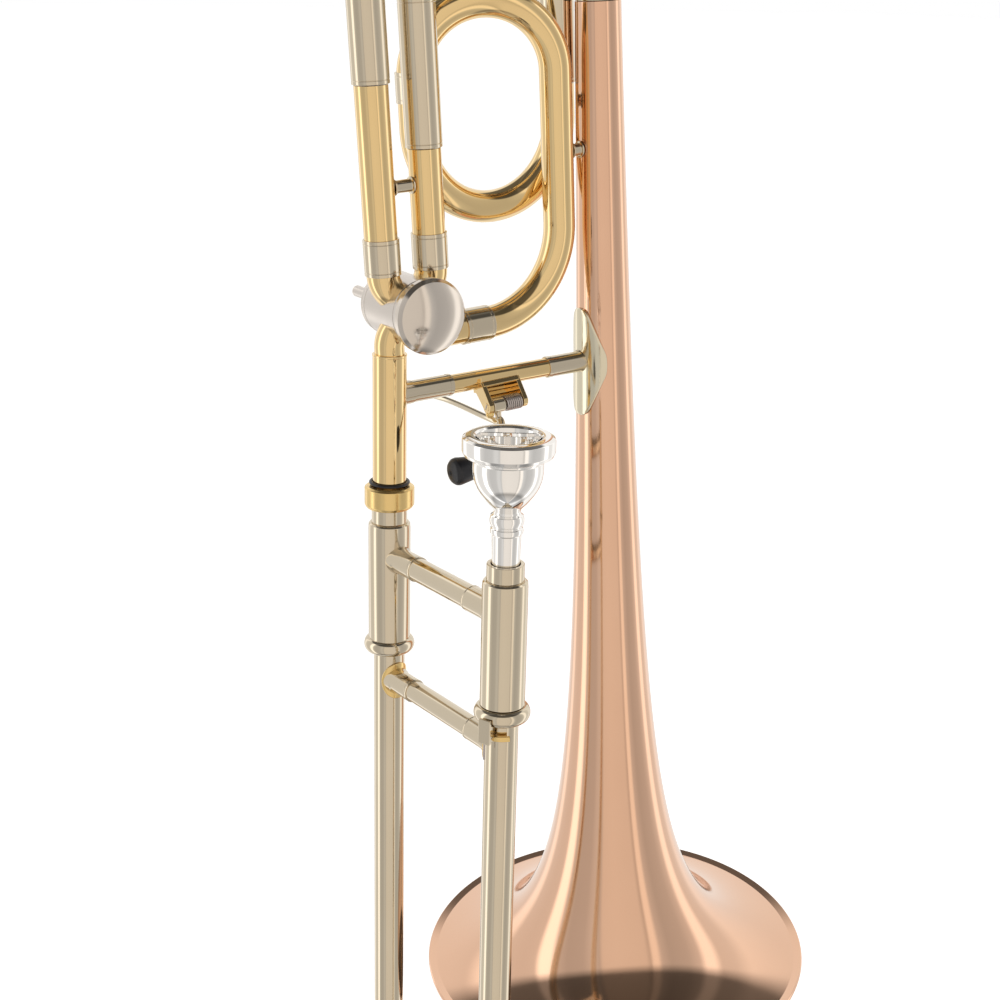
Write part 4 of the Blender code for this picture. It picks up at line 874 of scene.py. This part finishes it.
def build_neckpipe():
    build_upright("neck_ferrule", None, NECK_X, 0, 37.2, 53.8, TUBE_R + 0.75, TUBE_R + 0.05)
    piece = Piece("neckpipe", BELL, "yellow_brass")
    piece.tube(knuckle(NECK_X - VALVE_X, 1, False, 122.0 - VALVE_Z), ends_on=CASING)
    stay(piece, at(NECK_X, 0, 76), at(RETURN_X, 0, 76), 7.5, 7.5)
    piece.done()
    build_upright("neck_receiver", None, NECK_X, 0, 122.3, 215.0, SLEEVE_R, RECEIVER_BORE)
    build_upright("bell_receiver", None, BELL_X, 0, BELL_TAIL_Z + 0.3, 215.0, 11.1, 10.2)
    brace = Piece("upper_brace", BELL)
    width, start = BELL_X - NECK_X, at(NECK_X, 13.4, 196)
    brace.lathe([(0, width + 3.6), (3.2, width + 3.6, 0.9), (3.2, -3.6, 0.9), (0, -3.6)], start, (1, 0, 0),
                56, 0.3)
    for spot in (25.0, width - 25.0):
        brace.sleeve(3.55, 3.1, spot - 1.2, spot + 1.2, start, (1, 0, 0), 0.3, 56)
    brace.rod(2.6, 8.5, 11.5, at(NECK_X, 0, 196), TOWARD, 0.2, 40)
    brace.done()


# ---------------------------------------------------------------- bell and its brace

def bell_radius(height):
    return RIM_R * (FLARE_REACH / (height - RIM_Z + FLARE_REACH)) ** FLARE_POWER


def build_bell():
    steps, wall = 110, 0.8
    length = BELL_TAIL_Z - RIM_Z
    heights = [RIM_Z + 1.0 + (length - 1.0) * (step / steps) ** 2.4 for step in range(steps, -1, -1)]
    outside = [(bell_radius(z), z) for z in heights]
    inside = []
    for z in reversed(heights):
        slope = (bell_radius(z + 0.25) - bell_radius(z - 0.25)) / 0.5
        inside.append((bell_radius(z) - wall * math.hypot(1, slope), z))
    bead = curl(RIM_R - 1.0, RIM_Z + 0.4, 1.9, 50, -125, 18)
    piece = Piece("bell", BELL, "gold_brass")
    piece.lathe(outside[:-1] + bead + inside[1:], at(BELL_X, 0, 0), facets=192, soft=0.2).done()
    build_flange()


def build_flange():
    """Rounded diamond plate that wraps the bell's stem."""
    half_width = 13.7
    quarter = [(0, 27.6), (2.2, 27.3), (4.0, 26.2), (5.6, 24.0), (7.2, 20.4), (8.8, 16.6), (10.4, 12.6),
               (12.0, 8.6), (13.0, 6.0), (13.5, 3.6), (half_width, 0)]
    right = quarter + [(a, -z) for a, z in quarter[-2::-1]]
    loop = right + [(-a, z) for a, z in right[-2:0:-1]] + right[:1]
    outline = smooth([(a, z, 0) for a, z in loop], 145)[:-1, :2]

    def ring(share, lift):
        z = BRACE_RIGHT_Z + outline[:, 1] * share
        radius = bell_radius(z) + lift
        angle = math.pi + outline[:, 0] * share / half_width * math.radians(61)
        return np.stack([BELL_X + radius * np.cos(angle), radius * np.sin(angle), z], axis=1)

    levels = [(0.02, 1.5), (0.25, 1.5), (0.5, 1.5), (0.75, 1.5), (0.93, 1.47), (0.98, 1.35), (1.0, 1.0),
              (1.0, 0.1), (0.6, 0.1), (0.3, 0.1), (0.02, 0.1)]
    piece = Piece("bell_brace_flange", BELL, "pale_nickel", "bell_flange")
    piece.plate([ring(*level) for level in levels], (-1, 0, 0)).done(slot="nickel_silver")


def build_bell_brace():
    start, end = at(0, 0, BRACE_LEFT_Z), at(BELL_X, 0, BRACE_RIGHT_Z)
    span = end - start
    length = np.linalg.norm(span)
    gap = bell_radius(BRACE_RIGHT_Z) + 1.5
    tube = Piece("bell_brace_tube", BELL, "yellow_brass", "brace_tube")
    tube.rod(BRACE_R - 0.45, 9.2, length - gap - 1.0, start, span, 0.2, 72).done()
    r = BRACE_R + 0.15
    to_slide = np.linalg.inv(BELL) @ SLIDE
    post = (to_slide[:3, 3] + to_slide[:3, 2] * 80.0, to_slide[:3, 2], 8.1)
    left = [(6.0, r + 0.5), (9.6, r + 0.35), (10.6, r), (28.9, r), (29.0, r - 0.12), (29.3, r - 0.12),
            (29.4, r + 0.12), (31.0, r + 0.12), (31.5, r - 0.1)]
    right = [(86.5, r - 0.1), (87.0, r + 0.12), (88.6, r + 0.12), (88.7, r - 0.12), (89.0, r - 0.12),
             (89.1, r), (length - gap - 1.0, r), (length - gap - 0.2, r + 0.35),
             (length - gap + 1.2, r + 0.6)]
    stem = (at(BELL_X, 0, 0), (0, 0, 1), gap - 0.1)
    for side, spots, trim in (("left", left, {"starts_on": post}), ("right", right, {"ends_on": stem})):
        piece = Piece(f"bell_brace_ferrule_{side}", BELL, name=f"brace_ferrule_{side}")
        piece.sweep([start + unit(span) * s for s, _ in spots], [v for _, v in spots], wall=0.5, facets=72,
                    soft=0.1, **trim).done()


# ---------------------------------------------------------------- thumb lever

def build_lever_saddle():
    """Band round the brace, with two ears that hold the lever's hinge pin."""
    top = BRACE_LEFT_Z + (BRACE_RIGHT_Z - BRACE_LEFT_Z) * LEVER_X / BELL_X - BRACE_R
    start = at(0, 0, BRACE_LEFT_Z)
    saddle = Piece("lever_saddle", BELL, "yellow_brass")
    right, left = RIGHT_EAR + 1.0, LEFT_EAR - 1.0
    saddle.band([(6.5, right), (6.5, left), (4.6, left), (4.6, right)], start,
                at(BELL_X, 0, BRACE_RIGHT_Z) - start, TOWARD, -20.0, 96.0)
    saddle.slab(rectangle(9.4, 3.6), 1.4, at(LEVER_X, 4.7, top - 3.2), (0, -0.66, 0.75), (1, 0, 0), 0.25, 0.3)
    ear = [(1.0, -0.3), (5.2, 4.6), (6.6, 5.6)] + curl(HINGE_U, HINGE_Z - top, 3.5, 20, -160, 16)
    for x in (LEFT_EAR, RIGHT_EAR):
        saddle.slab(ear, 2.5, at(x, 0, top), (-1, 0, 0), TOWARD, 0.3, 0.3)
    lean = math.radians(38)
    saddle.slab(rectangle(10.2, 1.2), 1.8, at(LEVER_X, 6.9, top + 4.3), (0, -math.cos(lean), math.sin(lean)),
                (1, 0, 0), 0.3, 0.3)
    saddle.done()


def build_lever_hinge(hinge):
    pin = Piece("lever_hinge_pin", BELL, name="hinge_pin")
    pin.rod(1.3, LEFT_EAR - 1.0, RIGHT_EAR + 1.35, hinge, (1, 0, 0), 0.25, 40)
    pin.lathe([(0, LEFT_EAR + 0.4), (2.2, LEFT_EAR + 0.4, 0.3), (2.2, LEFT_EAR - 1.45, 0.35),
               (0, LEFT_EAR - 1.45)], hinge, (1, 0, 0), 48, 0.3, "yellow_brass")
    pin.slab(rectangle(1.6, 0.3), 0.16, hinge + (LEFT_EAR - 1.5, 0, 0), (1, 0, 0), (0, -0.5, 0.87), 0.05,
             0.05, "spring_steel")
    pin.done()
    turns, first, last, coil_r = 8, 54.6, 63.4, 3.5
    coil = [hinge + np.array((first + (last - first) * t, coil_r * math.cos(turns * 2 * math.pi * t),
                              coil_r * math.sin(turns * 2 * math.pi * t)))
            for t in np.linspace(0, 1, turns * 36 + 1)]
    Piece("lever_spring", BELL, "spring_steel").sweep(coil, 0.47, facets=14, soft=0.1).done()


def build_lever(hinge, link_end):
    """Barrel on the hinge pin, stem, arm to the link rod, arm to the thumb and its touch."""
    def arm(points, shares, radii):
        lever.sweep(smooth(points, 60), np.interp(np.linspace(0, 1, 60), shares, radii), facets=40)

    lever = Piece("thumb_lever", BELL)
    lever.sleeve(3.7, 1.5, 47.4, 53.7, hinge, (1, 0, 0), 0.35, 64)
    lever.lathe([(0, 0), (1.9, 0), (1.6, -2.4), (1.35, -6.2, 0.3), (1.0, -6.8, 0.4), (0, -6.8)],
                at(50.8, HINGE_U, HINGE_Z - 2.6), (0, 0.2, 1), 48, 0.2)
    arm([at(50.8, 12.6, -41.2), at(48.6, 4.0, -40.1), at(42.5, -30.0, -36.9), link_end], (0, 0.3, 1),
        (1.75, 1.6, 1.25))
    lever.lathe([(0, 0.6), (1.1, 0.4, 0.3), (2.0, -0.9, 1.0), (2.1, -2.1, 1.0), (1.2, -3.4, 0.8), (0, -3.6)],
                at(46.3, HINGE_U + 0.2, HINGE_Z - 2.2), (0, 0.1, 1), 40, 0.4, "gold_plate")
    lever.rod(1.5, -5.2, 1.6, link_end, (1, 0, 0), 0.25, 40)
    arm([at(50.4, HINGE_U + 0.6, -38.8), at(50.7, 14.2, -40.4), at(46.6, 21.0, -44.9), at(40.0, 31.0, -49.0),
         at(31.0, TOUCH_U, TOUCH_Z), at(TOUCH_X + 8.8, TOUCH_U, TOUCH_Z)], (0, 0.25, 1), (1.5, 1.9, 2.05))
    lever.done("thumb_lever")
    touch = Piece("thumb_touch", BELL, "black_rubber")
    touch.lathe([(2.15, 14.8, 0.2), (4.7, 14.8, 0.9), (5.1, 14.0, 0.5), (5.9, 8.6), (6.6, 3.9, 1.6),
                 (6.3, 2.4, 1.2), (5.2, 1.1, 1.6), (3.4, 0.35, 1.0), (1.5, 0.05, 0.3), (0.9, 0.1, 0.2),
                 (0.45, 0.75, 0.1), (0.2, 0.8, 0.05), (0.2, 8.4, 0.1), (2.15, 8.4, 0.1)],
                at(TOUCH_X, TOUCH_U, TOUCH_Z), (1, 0, 0), FACETS, 0.3)
    touch.done("thumb_lever")


def build_link_rod(link_end):
    """Rod with a ringed end on the lever and a socket over the stop arm's stud."""
    socket_u = -29.6
    reach = direction(STOP_ANGLE) * STOP_REACH
    upper = at(VALVE_X + reach[0], socket_u, VALVE_Z + reach[2])
    lower = link_end + np.array((-3.3, 0, 0))
    length = np.linalg.norm(upper - lower)
    rod = Piece("link_rod", BELL)
    rod.sleeve(3.4, 1.7, -1.5, 1.5, lower, (1, 0, 0), 0.35, 56)
    rod.lathe([(0, length - 1.0), (1.3, length - 1.0), (1.3, length - 8.0), (2.1, length - 8.4),
               (2.1, length - 12.0), (1.3, length - 12.4), (1.3, 12.0), (2.1, 11.6), (2.1, 8.0), (1.5, 7.4),
               (1.5, 2.6), (0, 2.6)], lower, upper - lower, 48, 0.2)
    socket = [(0, -27.7), (3.3, -27.7, 0.5), (3.3, -31.6, 0.8), (0, -31.6)]
    rod.lathe(socket, upper + np.array((0, socket_u, 0)), TOWARD, 56, 0.3)
    rod.done("link_rod")


def build_thumb_lever():
    hinge, link_end = at(0, HINGE_U, HINGE_Z), at(*LINK_END)
    build_lever_saddle()
    build_lever_hinge(hinge)
    build_lever(hinge, link_end)
    build_link_rod(link_end)


# ---------------------------------------------------------------- hidden CAD nodes, floor, light and camera

def finish_cad_nodes():
    """Procedural finishes on the inner nodes that keep their CAD shape."""
    slots = {row["node"]: row["material_slot"] for row in frame["record"]["subparts"]}
    for name, obj in frame["nodes"].items():
        obj.data.materials.clear()
        obj.data.materials.append(material(slots[name]))


def build_floor():
    size, slide_travel = 80.0, 0.6
    low = cad_box[0][2] - slide_travel
    mesh = bpy.data.meshes.new("floor")
    mesh.from_pydata([(x, y, low) for x, y in rectangle(size, size)], [], [(0, 1, 2, 3)])
    floor = bpy.data.objects.new("floor", mesh)
    bpy.context.scene.collection.objects.link(floor)
    stuff, tree, shader, place = surface("floor_paper")
    paper = mixed(tree, noise(tree, place, 6.0, 2.0), (0.93, 0.93, 0.93, 1.0), (0.95, 0.95, 0.945, 1.0))
    feed(tree, shader, {"Base Color": paper, "Roughness": 0.9, "Emission Color": (1.0, 1.0, 1.0, 1.0),
                        "Emission Strength": 0.62})
    mesh.materials.append(stuff)
    floor.visible_glossy = False


VIEW_TURN = 32.6      # degrees from +Y towards +X that the camera looks
TENT_HALVES = 16      # the stop that both ramps of the tent share
TENT = [  # azimuth round the object from the camera's side, in degrees to the right; brightness of the tent
    (-180, 1.0), (-150, 0.95), (-141, 0.9), (-134, 1.3), (-127, 1.3), (-121, 0.86), (-104, 0.82),
    (-92, 0.84), (-87, 1.7), (-76, 1.7), (-71, 0.72), (-58, 0.58), (-40, 0.6), (-32, 0.72), (-25, 0.7),
    (-22, 0.6), (-18, 0.85), (0, 0.87), (33, 0.84), (38, 0.64), (41, 1.1), (47, 1.1), (51, 0.68),
    (62, 0.56), (82, 0.62), (94, 0.78), (100, 1.4), (108, 1.4), (114, 0.86), (125, 0.88), (134, 1.1),
    (150, 0.96), (180, 1.0),
]
OVERHEAD = [(0.0, (0.80, 0.80, 0.80)), (0.06, (0.45, 0.441, 0.4275)), (0.10, (1.0, 0.98, 0.95)),
            (0.82, (1.0, 0.98, 0.95)), (0.86, (0.16, 0.1568, 0.152)), (1.0, (0.13, 0.125, 0.115))]
LAMPS = (("key", (-1.6, -1.2, 1.9), 1.6, 26.0), ("fill", (1.8, -0.9, 1.5), 1.4, 14.0))


def ramp(tree, factor, stops):
    node = add(tree, "ShaderNodeValToRGB", {"Fac": factor})
    elements = node.color_ramp.elements
    elements.remove(elements[-1])
    for index, (where, colour) in enumerate(stops):
        stop = elements.new(where) if index else elements[0]
        stop.position = where
        stop.color = (*colour, 1.0)
    return node.outputs["Color"]


def tent_stop(degrees, value):
    """Place and colour of one stop of the tent, warmer in front of the object. The strength doubles it."""
    warm = 1.0 if -20 < degrees < 50 else 0.15
    tint = (1.0, 1.0 - 0.055 * warm, 1.0 - 0.115 * warm)
    return (degrees + 180) / 360, tuple(value * channel / 2 for channel in tint)


def tent_colour(tree, generated):
    """Brightness of the tent round the object, from the azimuth of a ray."""
    angle = math.radians(VIEW_TURN)
    right, nearer = (math.cos(angle), -math.sin(angle), 0.0), (-math.sin(angle), -math.cos(angle), 0.0)
    dots = [result(tree, "ShaderNodeVectorMath", "DOT_PRODUCT", generated, way) for way in (right, nearer)]
    azimuth = result(tree, "ShaderNodeMath", "ARCTAN2", *dots)
    share = add(tree, "ShaderNodeMapRange", {"Value": azimuth, "From Min": -math.pi, "From Max": math.pi})
    share = share.outputs["Result"]
    stops = [tent_stop(*row) for row in TENT]
    first, second = stops[:TENT_HALVES + 1], stops[TENT_HALVES:]
    later = result(tree, "ShaderNodeMath", "GREATER_THAN", share, second[0][0])
    return mixed(tree, later, ramp(tree, share, first), ramp(tree, share, second))


def build_light():
    """White tent with bright strips and gaps between its panels, darker overhead, and two soft lights."""
    world = bpy.data.worlds.new("tent")
    bpy.context.scene.world = world
    world.use_nodes = True
    tree = world.node_tree
    generated = add(tree, "ShaderNodeTexCoord").outputs["Generated"]
    height = add(tree, "ShaderNodeSeparateXYZ", {"Vector": generated}).outputs["Z"]
    level = add(tree, "ShaderNodeMapRange", {"Value": height, "From Min": -1.0, "From Max": 1.0})
    overhead = ramp(tree, level.outputs["Result"], OVERHEAD)
    product = mixed(tree, 1.0, tent_colour(tree, generated), overhead, "MULTIPLY")
    seen = add(tree, "ShaderNodeLightPath").outputs["Is Camera Ray"]
    feed(tree, tree.nodes["Background"].inputs, {
        "Color": mixed(tree, seen, product, (0.5, 0.5, 0.5, 1.0)), "Strength": 2.0})
    aim = Vector((0.03, -0.04, -0.1))
    for name, where, size, power in LAMPS:
        data = bpy.data.lights.new(name, "AREA")
        data.shape, data.size, data.energy = "DISK", size, power
        lamp = bpy.data.objects.new(name, data)
        bpy.context.scene.collection.objects.link(lamp)
        lamp.location = where
        lamp.rotation_euler = (aim - Vector(where)).to_track_quat("-Z", "Y").to_euler()
        lamp.visible_glossy = False
        lamp.visible_camera = False


def build_camera():
    """Camera above the brace and to its left, looking down a little."""
    place = Vector((-343.7, -636.0, 266.7)) * MM
    pitch, roll = 0.3182, -0.0243
    forward = Vector((0, math.cos(pitch), -math.sin(pitch)))
    right = Vector((1, 0, 0))
    down = Vector((0, -math.sin(pitch), -math.cos(pitch)))
    rolled_right = right * math.cos(roll) + down * math.sin(roll)
    rolled_down = down * math.cos(roll) - right * math.sin(roll)
    spin = Matrix.Rotation(-math.radians(VIEW_TURN), 3, "Z")
    columns = [spin @ rolled_right, spin @ -rolled_down, spin @ -forward]
    data = bpy.data.cameras.new("camera")
    data.lens, data.sensor_width, data.clip_start = 56.88, 36.0, 0.01
    camera = bpy.data.objects.new("camera", data)
    bpy.context.scene.collection.objects.link(camera)
    camera.matrix_world = Matrix.Translation(place) @ Matrix(columns).transposed().to_4x4()
    bpy.context.scene.camera = camera


build_inner_slide()
build_lock_ring()
build_outer_slide()
build_water_key()
build_mouthpiece()
build_neck()
build_valve()
build_f_tubing()
build_f_slide()
build_main_slide()
build_neckpipe()
build_bell()
build_bell_brace()
build_thumb_lever()
finish_cad_nodes()
build_floor()
build_light()
build_camera()
bpy.context.scene.view_settings.view_transform = "Standard"

bpy.context.view_layer.update()
